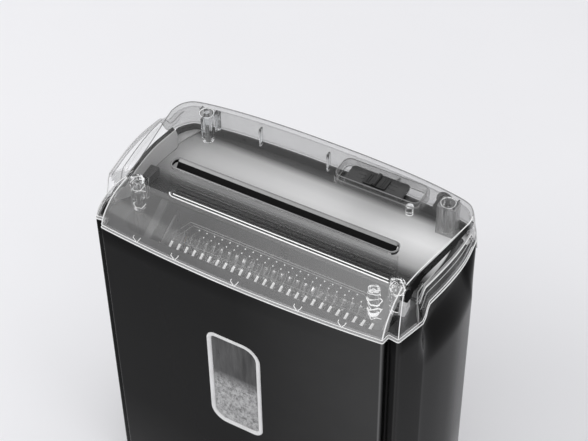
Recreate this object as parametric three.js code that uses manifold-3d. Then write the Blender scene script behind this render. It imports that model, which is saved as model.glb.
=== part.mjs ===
// Cross-cut paper shredder: a clear-topped cutting head that lifts off a black waste bin.
// Units are millimetres. +X is the machine's right, -Y its front, +Z up, z = 0 the floor.
import * as THREE from "three";
import { mergeVertices, toCreasedNormals } from "three/addons/utils/BufferGeometryUtils.js";
import Module from "manifold-3d";

const wasm = await Module();
wasm.setup();

// ---------------------------------------------------------------- driving dimensions
const TOP_Z = 364;
const FRONT_Y = -87.2;
const REAR_Y = 88;
const FRONT_HALF = 137.4;
const FRONT_BOW = 6.6;
const GAP = 0.3;
const RIM_GAP = 0.8;

const RIM_Z = 335.2;
const RIM_LIFT = 16.8;
const GRIP_FRONT = [-45, -37];
const GRIP_REAR = [46, 56];
const LEDGE_FRONT = [-34, -24];
const RIM_DIP = 8.5;
const GRIP_DEPTH = 14;
const GRIP_LOW_Z = 276;
const GRIP_HIGH_Z = 326;

const BIN_WALL = 3;
const BIN_BASE_Z = 4;
const COVER_WALL = 2.5;
const COVER_LIP = 3.5;
const CREASE_Y = -41.4;

const DECK_TOP_Z = 328;
const DECK_THICK = 2;
const DECK_FRONT_Y = -16;
const DECK_INSET = 4.5;

const SLOT_HALF = 110.5;
const SLOT_FRONT_Y = -9.6;
const SLOT_BACK_Y = -3.6;
const SLOT_FUNNEL_Y = 2.4;

const POCKET = { x: [20, 101], y: [51, 76], floorZ: 356 };
const SWITCH_X = 56;
const SWITCH_Y = 63.5;

const WINDOW = { middle: -3, half: 27, low: 150, high: 268, wideRadius: 17, tightRadius: 9, bezel: 4.5 };

const CASING = { half: 134, front: -66, rear: 76, radius: 18, wall: 2.5, floorZ: 224 };

const NIP_Y = -6.6;
const CUTTER_SPACING = 34;
const CUTTER_Z = 256;
const CUTTER_RADIUS = 20;
const CORE_RADIUS = 12.5;
const DISC_PITCH = 8;
const DISC_THICK = 3.4;
const FRONT_DISCS = 27;
const SHAFT_RADIUS = 5;
const FRAME_X = 111;
const FRAME_THICK = 2;

const SYNC = { teeth: 17, module: 2 };
const MAIN = { teeth: 42, module: 1.25 };
const IDLER_SMALL = { teeth: 14, module: 1.25 };
const IDLER_LARGE = { teeth: 40, module: 0.9 };
const PINION = { teeth: 14, module: 0.9 };
const IDLER_DIRECTION = THREE.MathUtils.degToRad(12);
const MOTOR_DIRECTION = THREE.MathUtils.degToRad(78);
const MOTOR_RADIUS = 23;

const GLAND = [112, 347];
const INTERLOCK = [-141.4, 0];
const SCREW_RADIUS = 1.6;
const POSTS = [[-127.2, -37], [127.2, -37], [-122, 69], [122, 69]];

// ---------------------------------------------------------------- solids and placing
function solidOf(geometry) {
  const bare = geometry.index ? geometry.toNonIndexed() : geometry.clone();
  bare.deleteAttribute("normal");
  bare.deleteAttribute("uv");
  const merged = mergeVertices(bare, 1e-4);
  const mesh = new wasm.Mesh({
    numProp: 3,
    vertProperties: merged.attributes.position.array,
    triVerts: new Uint32Array(merged.index.array),
  });
  return new wasm.Manifold(mesh);
}

function geometryOf(solid) {
  const mesh = solid.getMesh();
  const geometry = new THREE.BufferGeometry();
  geometry.setAttribute("position", new THREE.BufferAttribute(mesh.vertProperties, 3));
  geometry.setIndex(new THREE.BufferAttribute(mesh.triVerts, 1));
  return toCreasedNormals(geometry, THREE.MathUtils.degToRad(35));
}

const join = (first, ...others) => others.reduce((sum, next) => sum.add(next), first);
const cut = (first, ...others) => others.reduce((rest, next) => rest.subtract(next), first);

function box(x, y, z) {
  const geometry = new THREE.BoxGeometry(x[1] - x[0], y[1] - y[0], z[1] - z[0]);
  geometry.translate((x[0] + x[1]) / 2, (y[0] + y[1]) / 2, (z[0] + z[1]) / 2);
  return solidOf(geometry);
}

// A cylinder from one end to the other along the axis "x", "y" or "z", with its centre line at a pair
// of coordinates in the order of the two axes left over.
function rod(axis, centre, ends, radius, sides = 16) {
  const geometry = new THREE.CylinderGeometry(radius, radius, ends[1] - ends[0], sides);
  const middle = (ends[0] + ends[1]) / 2;
  if (axis === "x") {
    geometry.rotateZ(-Math.PI / 2).translate(middle, centre[0], centre[1]);
  } else if (axis === "y") {
    geometry.translate(centre[0], middle, centre[1]);
  } else {
    geometry.rotateX(Math.PI / 2).translate(centre[0], centre[1], middle);
  }
  return solidOf(geometry);
}

const ARC_STEPS = 3;

// Local x, y, z become world y, z, x, so a flat outline faces along the shafts.
const ALONG_X = new THREE.Matrix4().set(0, 0, 1, 0, 1, 0, 0, 0, 0, 1, 0, 0, 0, 0, 0, 1);
const ALONG_Y = new THREE.Matrix4().makeRotationX(Math.PI / 2);

function extrude(shape, from, to, placing = new THREE.Matrix4()) {
  const settings = { depth: to - from, bevelEnabled: false, curveSegments: ARC_STEPS };
  const geometry = new THREE.ExtrudeGeometry(shape, settings);
  geometry.translate(0, 0, from).applyMatrix4(placing);
  return solidOf(geometry);
}

const shapeOf = (points) => new THREE.Shape(points.map(([x, y]) => new THREE.Vector2(x, y)));

function roundedRectangle(x, y, radius) {
  const shape = new THREE.Shape();
  shape.moveTo(x[0] + radius, y[0]);
  shape.lineTo(x[1] - radius, y[0]);
  shape.absarc(x[1] - radius, y[0] + radius, radius, -Math.PI / 2, 0);
  shape.lineTo(x[1], y[1] - radius);
  shape.absarc(x[1] - radius, y[1] - radius, radius, 0, Math.PI / 2);
  shape.lineTo(x[0] + radius, y[1]);
  shape.absarc(x[0] + radius, y[1] - radius, radius, Math.PI / 2, Math.PI);
  shape.lineTo(x[0], y[0] + radius);
  shape.absarc(x[0] + radius, y[0] + radius, radius, Math.PI, 1.5 * Math.PI);
  return shape;
}

const stadium = (half, y) => roundedRectangle([-half, half], y, (y[1] - y[0]) / 2 - 0.01);

// A closed surface through rings of equally many points, capped at its first and last ring.
function loft(rings) {
  const count = rings[0].length;
  const positions = rings.flat(2);
  const index = [];
  for (let r = 0; r + 1 < rings.length; r++) {
    for (let i = 0; i < count; i++) {
      const next = (i + 1) % count;
      const a = r * count + i;
      const b = r * count + next;
      index.push(a, b, b + count, a, b + count, a + count);
    }
  }
  const flat = (ring) => ring.map(([x, y]) => new THREE.Vector2(x, y));
  const capOf = (ring) => THREE.ShapeUtils.triangulateShape(flat(ring), []);
  const last = (rings.length - 1) * count;
  for (const [a, b, c] of capOf(rings[0])) index.push(a, c, b);
  for (const [a, b, c] of capOf(rings.at(-1))) index.push(last + a, last + b, last + c);
  const geometry = new THREE.BufferGeometry();
  geometry.setAttribute("position", new THREE.Float32BufferAttribute(positions, 3));
  geometry.setIndex(index);
  return solidOf(geometry);
}

// ---------------------------------------------------------------- plan outlines
const smooth = (low, high, value) => THREE.MathUtils.smoothstep(value, low, high);
const lerp = THREE.MathUtils.lerp;
const FRONT_STEPS = 7;

// Right half of a loop from the middle of the front to the middle of the back, mirrored to the left.
function wholeLoop(half) {
  const left = half.slice(1, -1).reverse().map(([x, y]) => [-x, y]);
  return [...half, ...left];
}

function halfLoop(frontAt, corner, sideAndBack) {
  const front = Array.from({ length: FRONT_STEPS + 1 }, (_, i) => frontAt(i / FRONT_STEPS));
  const curve = new THREE.SplineCurve(sideAndBack.map(([x, y]) => new THREE.Vector2(x, y)));
  const spans = sideAndBack.length - 1;
  const side = Array.from({ length: 2 * spans + 1 }, (_, i) => curve.getPoint(i / (2 * spans)).toArray());
  return wholeLoop([...front, corner, ...side]);
}

const BODY_LOOP = halfLoop(
  (t) => [FRONT_HALF * t, FRONT_Y + FRONT_BOW * t * t],
  [138.6, -72.4],
  [[148.2, -73.6], [156, GRIP_FRONT[0]], [157.4, GRIP_FRONT[1]], [161.4, -8], [162.6, 18],
    [159.4, GRIP_REAR[0]], [156.6, GRIP_REAR[1]], [148.6, 71], [136, 79.6], [92, 85.2], [45, 87.6], [0, REAR_Y]],
);

const TOP_LOOP = halfLoop(
  (t) => [134 * t, CREASE_Y],
  [134.8, -40.9],
  [[135.6, -39.8], [137, -24], [138, -16], [141.3, 5], [144.8, 25], [148.4, 46], [149.2, 56], [145.4, 67.5],
    [133, 75.5], [92, 81.6], [45, 84.4], [0, 85]],
);

// Moves each corner of a counter-clockwise loop inwards by a distance.
function inset(loop, distance) {
  const count = loop.length;
  return loop.map((point, i) => {
    const before = new THREE.Vector2(...loop[(i + count - 1) % count]);
    const here = new THREE.Vector2(...point);
    const after = new THREE.Vector2(...loop[(i + 1) % count]);
    const first = here.clone().sub(before).normalize();
    const second = after.clone().sub(here).normalize();
    const mitre = new THREE.Vector2(-first.y - second.y, first.x + second.x).normalize();
    const reach = distance / Math.max(0.35, mitre.dot(new THREE.Vector2(-first.y, first.x)));
    return here.addScaledVector(mitre, reach).toArray();
  });
}

// Scales a loop about its middle so that its extremes move inwards by a distance.
function shrink(loop, distance) {
  const bounds = new THREE.Box2().setFromPoints(loop.map(([x, y]) => new THREE.Vector2(x, y)));
  const middle = bounds.getCenter(new THREE.Vector2());
  const size = bounds.getSize(new THREE.Vector2());
  const share = [1 - (2 * distance) / size.x, 1 - (2 * distance) / size.y];
  return loop.map(([x, y]) => [middle.x + (x - middle.x) * share[0], middle.y + (y - middle.y) * share[1]]);
}

// 1 along the finger grips on both sides, 0 round the front and back.
const gripShare = (y) => smooth(...GRIP_FRONT, y) * (1 - smooth(...GRIP_REAR, y));
const rimHeight = (y) => RIM_Z + RIM_LIFT * gripShare(y);

// The body's loop at a height, dished inwards at the finger grips.
function bodyRing(distance, heightAt) {
  return inset(BODY_LOOP, distance).map(([x, y], i) => {
    const z = heightAt(BODY_LOOP[i][1]);
    const along = smooth(-48, -24, y) * (1 - smooth(44, 66, y));
    const dish = GRIP_DEPTH * along * smooth(GRIP_LOW_Z, GRIP_HIGH_Z, z) * smooth(120, 140, Math.abs(x));
    return [x - Math.sign(x) * dish, y, z];
  });
}

const level = (z) => () => z;

// ---------------------------------------------------------------- waste bin
function leafShape(grow) {
  const shape = new THREE.Shape();
  const { middle, half, low, high, wideRadius, tightRadius } = WINDOW;
  const left = middle - half - grow;
  const right = middle + half + grow;
  const top = high + grow;
  const bottom = low - grow;
  const wide = wideRadius + grow;
  const tight = tightRadius + grow;
  shape.moveTo(left + wide, bottom);
  shape.lineTo(right - tight, bottom);
  shape.absarc(right - tight, bottom + tight, tight, -Math.PI / 2, 0);
  shape.lineTo(right, top - wide);
  shape.absarc(right - wide, top - wide, wide, 0, Math.PI / 2);
  shape.lineTo(left + tight, top);
  shape.absarc(left + tight, top - tight, tight, Math.PI / 2, Math.PI);
  shape.lineTo(left, bottom + wide);
  shape.absarc(left + wide, bottom + wide, wide, Math.PI, 1.5 * Math.PI);
  return shape;
}

// An outline in x and z, as deep as from one y to another.
const acrossFront = (shape, y) => extrude(shape, -y[1], -y[0], ALONG_Y);

// The bin's rim follows the cover's, but stays lower where both climb to the grips and under the front ends
// of the cover's ledges.
function binRim(y) {
  const share = gripShare(y);
  const climbing = share * (1 - share);
  const underLedge = smooth(...GRIP_FRONT, y) * (1 - smooth(...LEDGE_FRONT, y));
  return rimHeight(y) - RIM_GAP - RIM_DIP * (climbing + underLedge);
}

function binShell() {
  const rings = [
    bodyRing(4, level(BIN_BASE_Z)),
    bodyRing(0, level(BIN_BASE_Z + 5)),
    bodyRing(0, level(GRIP_LOW_Z)),
    bodyRing(0, level(303)),
    bodyRing(0, level(317)),
    bodyRing(0, binRim),
    bodyRing(BIN_WALL, binRim),
    bodyRing(BIN_WALL, level(317)),
    bodyRing(BIN_WALL, level(303)),
    bodyRing(BIN_WALL, level(GRIP_LOW_Z)),
    bodyRing(BIN_WALL, level(BIN_BASE_Z + BIN_WALL)),
  ];
  const actuator = box([-149.5, -138], [-4, 4], [298, 312]);
  return cut(join(loft(rings), actuator), acrossFront(leafShape(GAP), [-95, -75]));
}

const windowFrame = () => cut(
  acrossFront(leafShape(0), [-88, -83.5]),
  acrossFront(leafShape(-WINDOW.bezel), [-90, -80]),
);
const windowPane = () => acrossFront(leafShape(-WINDOW.bezel - GAP), [-86.6, -84.6]);

function foot() {
  const profile = [[0, 0], [9, 0], [10, 1], [9.4, 3.7], [0, 3.7]];
  const geometry = new THREE.LatheGeometry(profile.map(([x, y]) => new THREE.Vector2(x, y)), 16);
  return solidOf(geometry.rotateX(Math.PI / 2));
}

// ---------------------------------------------------------------- clear cover
// Share of the way from the rim to the top edge, and share of the climb, for each ring: round the front and
// back the surface is a full curve, and at the grips it is a ledge with a riser up to the top panel.
const COVER_PROFILE = [
  { round: [0.1, 0.3], ledge: [0.05, 0.1] },
  { round: [0.26, 0.56], ledge: [0.45, 0.28] },
  { round: [0.55, 0.85], ledge: [0.56, 0.5] },
  { round: [1, 1], ledge: [1, 1] },
];

function coverRings(distance) {
  const rim = inset(BODY_LOOP, distance);
  const top = shrink(TOP_LOOP, distance);
  const low = rim.map(([x, y], i) => [x, y, rimHeight(BODY_LOOP[i][1])]);
  const lip = inset(BODY_LOOP, distance + 0.5)
    .map(([x, y], i) => [x, y, rimHeight(BODY_LOOP[i][1]) + COVER_LIP - distance]);
  const upper = COVER_PROFILE.map(({ round, ledge }) => lip.map(([x, y, z], i) => {
    const side = smooth(-74, -58, BODY_LOOP[i][1]) * (1 - smooth(56, 76, BODY_LOOP[i][1]));
    const across = lerp(round[0], ledge[0], side);
    const climb = lerp(round[1], ledge[1], side);
    return [lerp(x, top[i][0], across), lerp(y, top[i][1], across), lerp(z, TOP_Z - distance, climb)];
  }));
  return [low, lip, ...upper];
}

function topCover() {
  const shell = loft([...coverRings(COVER_WALL).reverse(), ...coverRings(0)]);
  const trayX = [POCKET.x[0] - 2, POCKET.x[1] + 2];
  const trayY = [POCKET.y[0] - 2, POCKET.y[1] + 2];
  const tray = extrude(roundedRectangle(trayX, trayY, 8), POCKET.floorZ - 2, TOP_Z - 1);
  const pocket = extrude(roundedRectangle(POCKET.x, POCKET.y, 6), POCKET.floorZ, TOP_Z + 1);
  const lightPipe = rod("z", [92, 56], [343, POCKET.floorZ - 1], 3.5, 12);
  const posts = POSTS.map(([x, y]) => rod("z", [x, y], [DECK_TOP_Z + GAP, TOP_Z - 1.5], 6, 12));
  const pilots = POSTS.map(([x, y]) => rod("z", [x, y], [DECK_TOP_Z - 5, 352], SCREW_RADIUS + 0.35, 8));
  const ribs = [-70, 0, 70].map((x) => box([x - 1, x + 1], [74, 82], [338, TOP_Z - 1.5]));
  const clips = [-100, -60, 0, 60, 100].map((x) => {
    const wall = FRONT_Y + FRONT_BOW * (x / FRONT_HALF) ** 2 + COVER_WALL - 0.5;
    return box([x - 3, x + 3], [wall, wall + 5], [337, 341]);
  });
  const slot = extrude(linerOutline(GAP), 350, TOP_Z + 1);
  const glandHole = rod("y", GLAND, [70, 90], 6.3, 12);
  return cut(join(shell, tray, lightPipe, ...posts, ...ribs, ...clips), pocket, slot, glandHole, ...pilots);
}

function linerOutline(grow) {
  const edge = 1.2 + grow;
  const y = [SLOT_FRONT_Y - edge, SLOT_FUNNEL_Y + edge];
  return roundedRectangle([-SLOT_HALF - edge, SLOT_HALF + edge], y, 3 + edge);
}

function slotLiner() {
  const outer = extrude(linerOutline(0), 355, TOP_Z);
  const opening = extrude(stadium(SLOT_HALF, [SLOT_FRONT_Y, SLOT_BACK_Y]), 350, TOP_Z + 1);
  const slope = shapeOf([[SLOT_FRONT_Y, TOP_Z + 1], [SLOT_FRONT_Y, 357], [SLOT_BACK_Y, 357],
    [SLOT_FUNNEL_Y, TOP_Z], [SLOT_FUNNEL_Y, TOP_Z + 1]]);
  return cut(outer, opening, extrude(slope, -SLOT_HALF + 3, SLOT_HALF - 3, ALONG_X));
}

function throatGuide() {
  const ring = (endwise, across) => stadium(SLOT_HALF + endwise, [SLOT_FRONT_Y - across, SLOT_BACK_Y + across]);
  const walls = extrude(ring(2, 2), 326.2, 355 - GAP);
  const flange = extrude(ring(4, 3.6), DECK_TOP_Z + GAP, DECK_TOP_Z + 1.8);
  return cut(join(walls, flange), extrude(ring(0, 0), 320, 360));
}

// ---------------------------------------------------------------- deck and lower casing
const casingShape = (grow) => roundedRectangle([-CASING.half - grow, CASING.half + grow],
  [CASING.front - grow, CASING.rear + grow], CASING.radius + grow);

function deckPlate() {
  const low = DECK_TOP_Z - DECK_THICK;
  const plan = loft([bodyRing(DECK_INSET, level(low)), bodyRing(DECK_INSET, level(DECK_TOP_Z))]);
  const bay = box([-170, 170], [-100, DECK_FRONT_Y], [low - 1, DECK_TOP_Z + 1]);
  const around = 2 + GAP;
  const throat = extrude(stadium(SLOT_HALF + around, [SLOT_FRONT_Y - around, SLOT_BACK_Y + around]), 320, 332);
  const holes = POSTS.map(([x, y]) => rod("z", [x, y], [low - 1, DECK_TOP_Z + 1], SCREW_RADIUS + 0.5, 8));
  const interlock = rod("z", INTERLOCK, [low - 1, DECK_TOP_Z + 1], 2.2, 10);
  return cut(plan, bay, throat, interlock, ...holes);
}

function lowerCasing() {
  const flangeTop = DECK_TOP_Z - DECK_THICK - GAP;
  const flange = loft([bodyRing(DECK_INSET, level(flangeTop - 2.5)), bodyRing(DECK_INSET, level(flangeTop))]);
  const tub = extrude(casingShape(0), CASING.floorZ, flangeTop);
  const cavity = extrude(casingShape(-CASING.wall), CASING.floorZ + CASING.wall, flangeTop + 1);
  const chute = box([-108, 108], [NIP_Y - 32, NIP_Y + 32], [CASING.floorZ - 1, CASING.floorZ + 4]);
  const posts = POSTS.map(([x, y]) => rod("z", [x, y], [CASING.floorZ + 1, flangeTop], 4.7, 12));
  const bores = POSTS.map(([x, y]) => rod("z", [x, y], [CASING.floorZ - 1, 306], 3.7, 12));
  const throughs = POSTS.map(([x, y]) => rod("z", [x, y], [300, flangeTop + 1], SCREW_RADIUS + 0.35, 8));
  const button = box([-146, -138], [-3, 3], [315, 330]);
  const tubWithPosts = join(cut(join(flange, tub), cavity), ...posts);
  return cut(tubWithPosts, chute, button, ...bores, ...throughs);
}

function screw() {
  const head = rod("z", [0, 0], [0, 2.6], 3.2, 12);
  return join(head, rod("z", [0, 0], [2, 44], SCREW_RADIUS, 8));
}

// ---------------------------------------------------------------- cutting block
const FRONT_SHAFT = [NIP_Y - CUTTER_SPACING / 2, CUTTER_Z];
const REAR_SHAFT = [NIP_Y + CUTTER_SPACING / 2, CUTTER_Z];

const polar = ([x, y], radius, angle) => [x + radius * Math.cos(angle), y + radius * Math.sin(angle)];
const pitchRadius = ({ teeth, module }) => (teeth * module) / 2;
const IDLER_AXIS = polar(REAR_SHAFT, pitchRadius(MAIN) + pitchRadius(IDLER_SMALL), IDLER_DIRECTION);
const MOTOR_AXIS = polar(IDLER_AXIS, pitchRadius(IDLER_LARGE) + pitchRadius(PINION), MOTOR_DIRECTION);

// A shaft turned with a row of cutting discs, round its own axis along x.
function cutterShaft(discs, ends) {
  const points = [[0, ends[0]], [SHAFT_RADIUS, ends[0]], [SHAFT_RADIUS, -108.5], [CORE_RADIUS, -108.5]];
  for (let i = 0; i < discs; i++) {
    const middle = (i - (discs - 1) / 2) * DISC_PITCH;
    points.push([CORE_RADIUS, middle - DISC_THICK / 2], [CUTTER_RADIUS, middle - DISC_THICK / 2]);
    points.push([CUTTER_RADIUS, middle + DISC_THICK / 2], [CORE_RADIUS, middle + DISC_THICK / 2]);
  }
  points.push([CORE_RADIUS, 108.5], [SHAFT_RADIUS, 108.5], [SHAFT_RADIUS, ends[1]], [0, ends[1]]);
  const profile = points.map(([x, y]) => new THREE.Vector2(x, y));
  return solidOf(new THREE.LatheGeometry(profile, 8).rotateZ(-Math.PI / 2));
}

// A spur gear with straight-flanked teeth inside its involute, one tooth centred on the angle given.
function gear(size, angle, ends, bore = 0) {
  const { teeth, module } = size;
  const pitch = pitchRadius(size);
  const pressure = THREE.MathUtils.degToRad(20);
  const base = pitch * Math.cos(pressure);
  const backlash = 0.22 * module;
  const involute = (radius) => {
    const a = Math.acos(Math.min(1, base / radius));
    return Math.tan(a) - a;
  };
  const halfWidth = (radius) => Math.PI / (2 * teeth) - backlash / (2 * pitch)
    + (Math.tan(pressure) - pressure) - involute(Math.max(radius, base));
  const tip = pitch + 0.85 * module;
  const root = pitch - 1.2 * module;
  const points = [];
  for (let i = 0; i < teeth; i++) {
    const middle = angle + (2 * Math.PI * i) / teeth;
    for (const [radius, side] of [[root, -1], [tip, -1], [tip, 1], [root, 1]]) {
      points.push(polar([0, 0], radius, middle + side * halfWidth(radius)));
    }
  }
  const disc = extrude(shapeOf(points), ends[0], ends[1], ALONG_X);
  return bore ? cut(disc, rod("x", [0, 0], [ends[0] - 1, ends[1] + 1], bore, 12)) : disc;
}

const LEFT_GEARS = [-121.5, -114.5];
const MAIN_GEARS = [114.5, 120.5];
const FAST_GEARS = [121.5, 127];
const TOWARDS_REAR = 0;
const KEYED = SHAFT_RADIUS + GAP;

const frontSyncGear = () => gear(SYNC, TOWARDS_REAR, LEFT_GEARS, KEYED);
const rearSyncGear = () => gear(SYNC, Math.PI + Math.PI / SYNC.teeth, LEFT_GEARS, KEYED);
const mainGear = () => gear(MAIN, IDLER_DIRECTION, MAIN_GEARS, KEYED);

function idlerGear() {
  const meshing = IDLER_DIRECTION + Math.PI + Math.PI / IDLER_SMALL.teeth;
  const small = gear(IDLER_SMALL, meshing, [MAIN_GEARS[0], 122]);
  const large = gear(IDLER_LARGE, MOTOR_DIRECTION, FAST_GEARS);
  return cut(join(small, large), rod("x", [0, 0], [110, 130], 3, 12));
}

function motorRotor() {
  const pinion = gear(PINION, MOTOR_DIRECTION + Math.PI + Math.PI / PINION.teeth, FAST_GEARS);
  return join(pinion, rod("x", [0, 0], [110.8, 122], 2.5, 10));
}

function frameOutline(side) {
  const back = side > 0 ? 71 : 34;
  const top = side > 0 ? 312 : 300;
  return shapeOf([[-50, 236], [-44, 230], [30, 230], [back, 256], [back, top], [-4, top], [-34, 284],
    [-50, 270]]);
}

const TIE_RODS = [[-48, 246], [37, 239], [9, 294]];

function sideFrame(side) {
  const ends = side > 0 ? [FRAME_X, FRAME_X + FRAME_THICK] : [-FRAME_X - FRAME_THICK, -FRAME_X];
  const past = [ends[0] - 1, ends[1] + 1];
  const bearings = [FRONT_SHAFT, REAR_SHAFT].map((axis) => rod("x", axis, past, 8 + GAP));
  const ties = TIE_RODS.map((axis) => rod("x", axis, past, 2.5 + GAP, 8));
  const drive = [rod("x", IDLER_AXIS, past, 2.6 + GAP, 10), rod("x", MOTOR_AXIS, past, 5, 12)];
  const plate = extrude(frameOutline(side), ends[0], ends[1], ALONG_X);
  return cut(plate, ...bearings, ...ties, ...(side > 0 ? drive : []));
}

function bush(side) {
  const inner = side * (FRAME_X - 1.5);
  const outer = side * (FRAME_X + FRAME_THICK + 0.5);
  const ends = [Math.min(inner, outer), Math.max(inner, outer)];
  return cut(rod("x", [0, 0], ends, 8), rod("x", [0, 0], [ends[0] - 1, ends[1] + 1], SHAFT_RADIUS + 0.35));
}

function tieRod() {
  const spacer = rod("x", [0, 0], [-FRAME_X + GAP, FRAME_X - GAP], 4, 10);
  return join(spacer, rod("x", [0, 0], [-115, 115], 2.5, 8));
}

// Bar along the shaft with a finger in every gap between discs.
function stripper(discs, bar, reach, z) {
  const spine = box([-109.5, 109.5], bar, z);
  const fingers = Array.from({ length: discs - 1 }, (_, i) => {
    const middle = (i - (discs - 2) / 2) * DISC_PITCH;
    const y = [Math.min(bar[0], reach), Math.max(bar[1], reach)];
    return box([middle - 1.6, middle + 1.6], y, [z[0], z[0] + 5]);
  });
  return join(spine, ...fingers);
}

function frontComb() {
  const outline = [[-110.4, 277], [110.4, 277], [110.4, 284], [89, 309], [-89, 309], [-110.4, 284]];
  const plate = extrude(shapeOf(outline), 13, 15, ALONG_Y);
  const ribs = Array.from({ length: FRONT_DISCS - 1 }, (_, i) => {
    const middle = (i - (FRONT_DISCS - 2) / 2) * DISC_PITCH;
    return box([middle - 0.7, middle + 0.7], [-17, -14], [277, 291]);
  });
  return join(plate, ...ribs);
}

function rearGuide() {
  const plate = box([-110.4, 110.4], [-2.2, -0.7], [275, DECK_TOP_Z - DECK_THICK - GAP]);
  return cut(plate, box([-4, 4], [-4, 2], [296, 318]));
}

function gearCowl(side) {
  const shape = shapeOf([[DECK_FRONT_Y + 1, 325], [-34, 314], [-60, 300], [-60, 297.5], [-34, 311.5],
    [DECK_FRONT_Y - 1, 321], [DECK_FRONT_Y + 1, 321]]);
  const ends = side > 0 ? [111, 118.2] : [-118.2, -111];
  return extrude(shape, ends[0], ends[1], ALONG_X);
}

// ---------------------------------------------------------------- motor, controls and sensing
function motorCan() {
  const can = rod("x", [0, 0], [28, FRAME_X - GAP], MOTOR_RADIUS, 24);
  const endBell = rod("x", [0, 0], [20, 29], MOTOR_RADIUS - 9, 16);
  return cut(join(can, endBell), rod("x", [0, 0], [110.5 - 12, 112], 5, 12));
}

const idlerPin = () => join(
  rod("x", [0, 0], [FRAME_X + FRAME_THICK + GAP, MAIN_GEARS[0] - GAP], 4.2, 10),
  rod("x", [0, 0], [FRAME_X, 128.5], 2.6, 10),
);

function sensorLever() {
  const hub = rod("x", [0, 0], [-2.6, 2.6], 3, 12);
  const finger = box([-1.4, 1.4], [-14.5, 0], [-1.2, 1.2]);
  return cut(join(hub, finger), rod("x", [0, 0], [-4, 4], 1.6, 10));
}

const SENSOR_AXIS = [6, 310];

function sensorBracket() {
  const body = box([-8, 8], [-0.4, 13], [302, 318]);
  const space = box([-3.2, 3.2], [-1, 15], [300, 320]);
  const bridge = box([-8, 8], [11, 13], [302, 318]);
  return cut(join(cut(body, space), bridge), rod("x", SENSOR_AXIS, [-10, 10], 1.5, 10));
}

function switchPlate() {
  const plate = extrude(roundedRectangle([SWITCH_X - 28, SWITCH_X + 28], [SWITCH_Y - 10, SWITCH_Y + 10], 2.5),
    POCKET.floorZ + GAP, 360);
  return cut(plate, box([SWITCH_X - 13, SWITCH_X + 13], [SWITCH_Y - 2.5, SWITCH_Y + 2.5], [357.5, 361]));
}

function switchSlider() {
  const base = box([-11, 11], [-7.5, 7.5], [360 + GAP, 361.4]);
  const ridge = extrude(shapeOf([[-2.2, 361], [2.2, 361], [1.3, TOP_Z], [-1.3, TOP_Z]]), -7.5, 7.5, ALONG_Y);
  return join(base, ridge, box([-2.5, 2.5], [-2, 2], [358, 361]));
}

function cordGland() {
  const profile = [[0, 72], [5.9, 72], [5.9, 83.6], [8, 83.6], [8, 85.4], [5, 87.6], [3, 87.6], [3, 80],
    [0, 80]];
  const geometry = new THREE.LatheGeometry(profile.map(([x, y]) => new THREE.Vector2(x, y)), 16);
  return solidOf(geometry);
}

function lead(points, radius) {
  const path = new THREE.CatmullRomCurve3(points.map((point) => new THREE.Vector3(...point)));
  const section = new THREE.Shape().absarc(0, 0, radius, 0, 2 * Math.PI);
  const settings = { steps: 16, curveSegments: 4, bevelEnabled: false, extrudePath: path };
  return solidOf(new THREE.ExtrudeGeometry(section, settings));
}

// ---------------------------------------------------------------- materials
const finish = (color, roughness, metalness = 0, more = {}) =>
  new THREE.MeshStandardMaterial({ color, roughness, metalness, ...more });
const FINISHES = {
  binBlack: () => finish(0x1b1b1c, 0.22),
  clear: () => finish(0xe9edf0, 0.06, 0, { transparent: true, opacity: 0.25 }),
  bezel: () => finish(0xe2e4e5, 0.25),
  pane: () => finish(0x6a6c6e, 0.35, 0, { transparent: true, opacity: 0.7 }),
  rubber: () => finish(0x161616, 0.85),
  deck: () => finish(0x4a4b4d, 0.18, 0.9),
  casing: () => finish(0x141414, 0.5),
  steel: () => finish(0x8f9397, 0.32, 1),
  cutter: () => finish(0xb9bcbf, 0.26, 1),
  bronze: () => finish(0x9a7443, 0.4, 1),
  gearNylon: () => finish(0xd9d6cb, 0.45),
  motor: () => finish(0x6f7275, 0.4, 0.9),
  board: () => finish(0x1d4a2c, 0.6),
  component: () => finish(0x1f2022, 0.5),
  switchBlack: () => finish(0x18191a, 0.38),
  lead: () => finish(0x2a2a2b, 0.6),
  guide: () => finish(0x7b7d80, 0.4, 0.7),
};

// ---------------------------------------------------------------- assembly
const shredder = new THREE.Group();

function add(name, solid, material, position = [0, 0, 0]) {
  const mesh = new THREE.Mesh(geometryOf(solid), FINISHES[material]());
  mesh.name = name;
  mesh.position.set(...position);
  shredder.add(mesh);
}

const onAxis = ([y, z]) => [0, y, z];
const SIDES = [["left", -1], ["right", 1]];

function addBin() {
  add("bin_shell", binShell(), "binBlack");
  add("window_frame", windowFrame(), "bezel");
  add("window_pane", windowPane(), "pane");
  for (const [side, sign] of SIDES) {
    add(`foot_front_${side}`, foot(), "rubber", [sign * 112, -58, 0]);
    add(`foot_rear_${side}`, foot(), "rubber", [sign * 112, 58, 0]);
  }
}

function addHead() {
  add("top_cover", topCover(), "clear");
  add("slot_liner", slotLiner(), "switchBlack");
  add("throat_guide", throatGuide(), "clear");
  add("deck_plate", deckPlate(), "deck");
  add("lower_casing", lowerCasing(), "casing");
  add("cord_gland", cordGland(), "component", [GLAND[0], 0, GLAND[1]]);
  const places = ["front_left", "front_right", "rear_left", "rear_right"];
  POSTS.forEach(([x, y], i) => add(`cover_screw_${places[i]}`, screw(), "steel", [x, y, 306 - 2.6 - GAP]));
}

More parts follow.
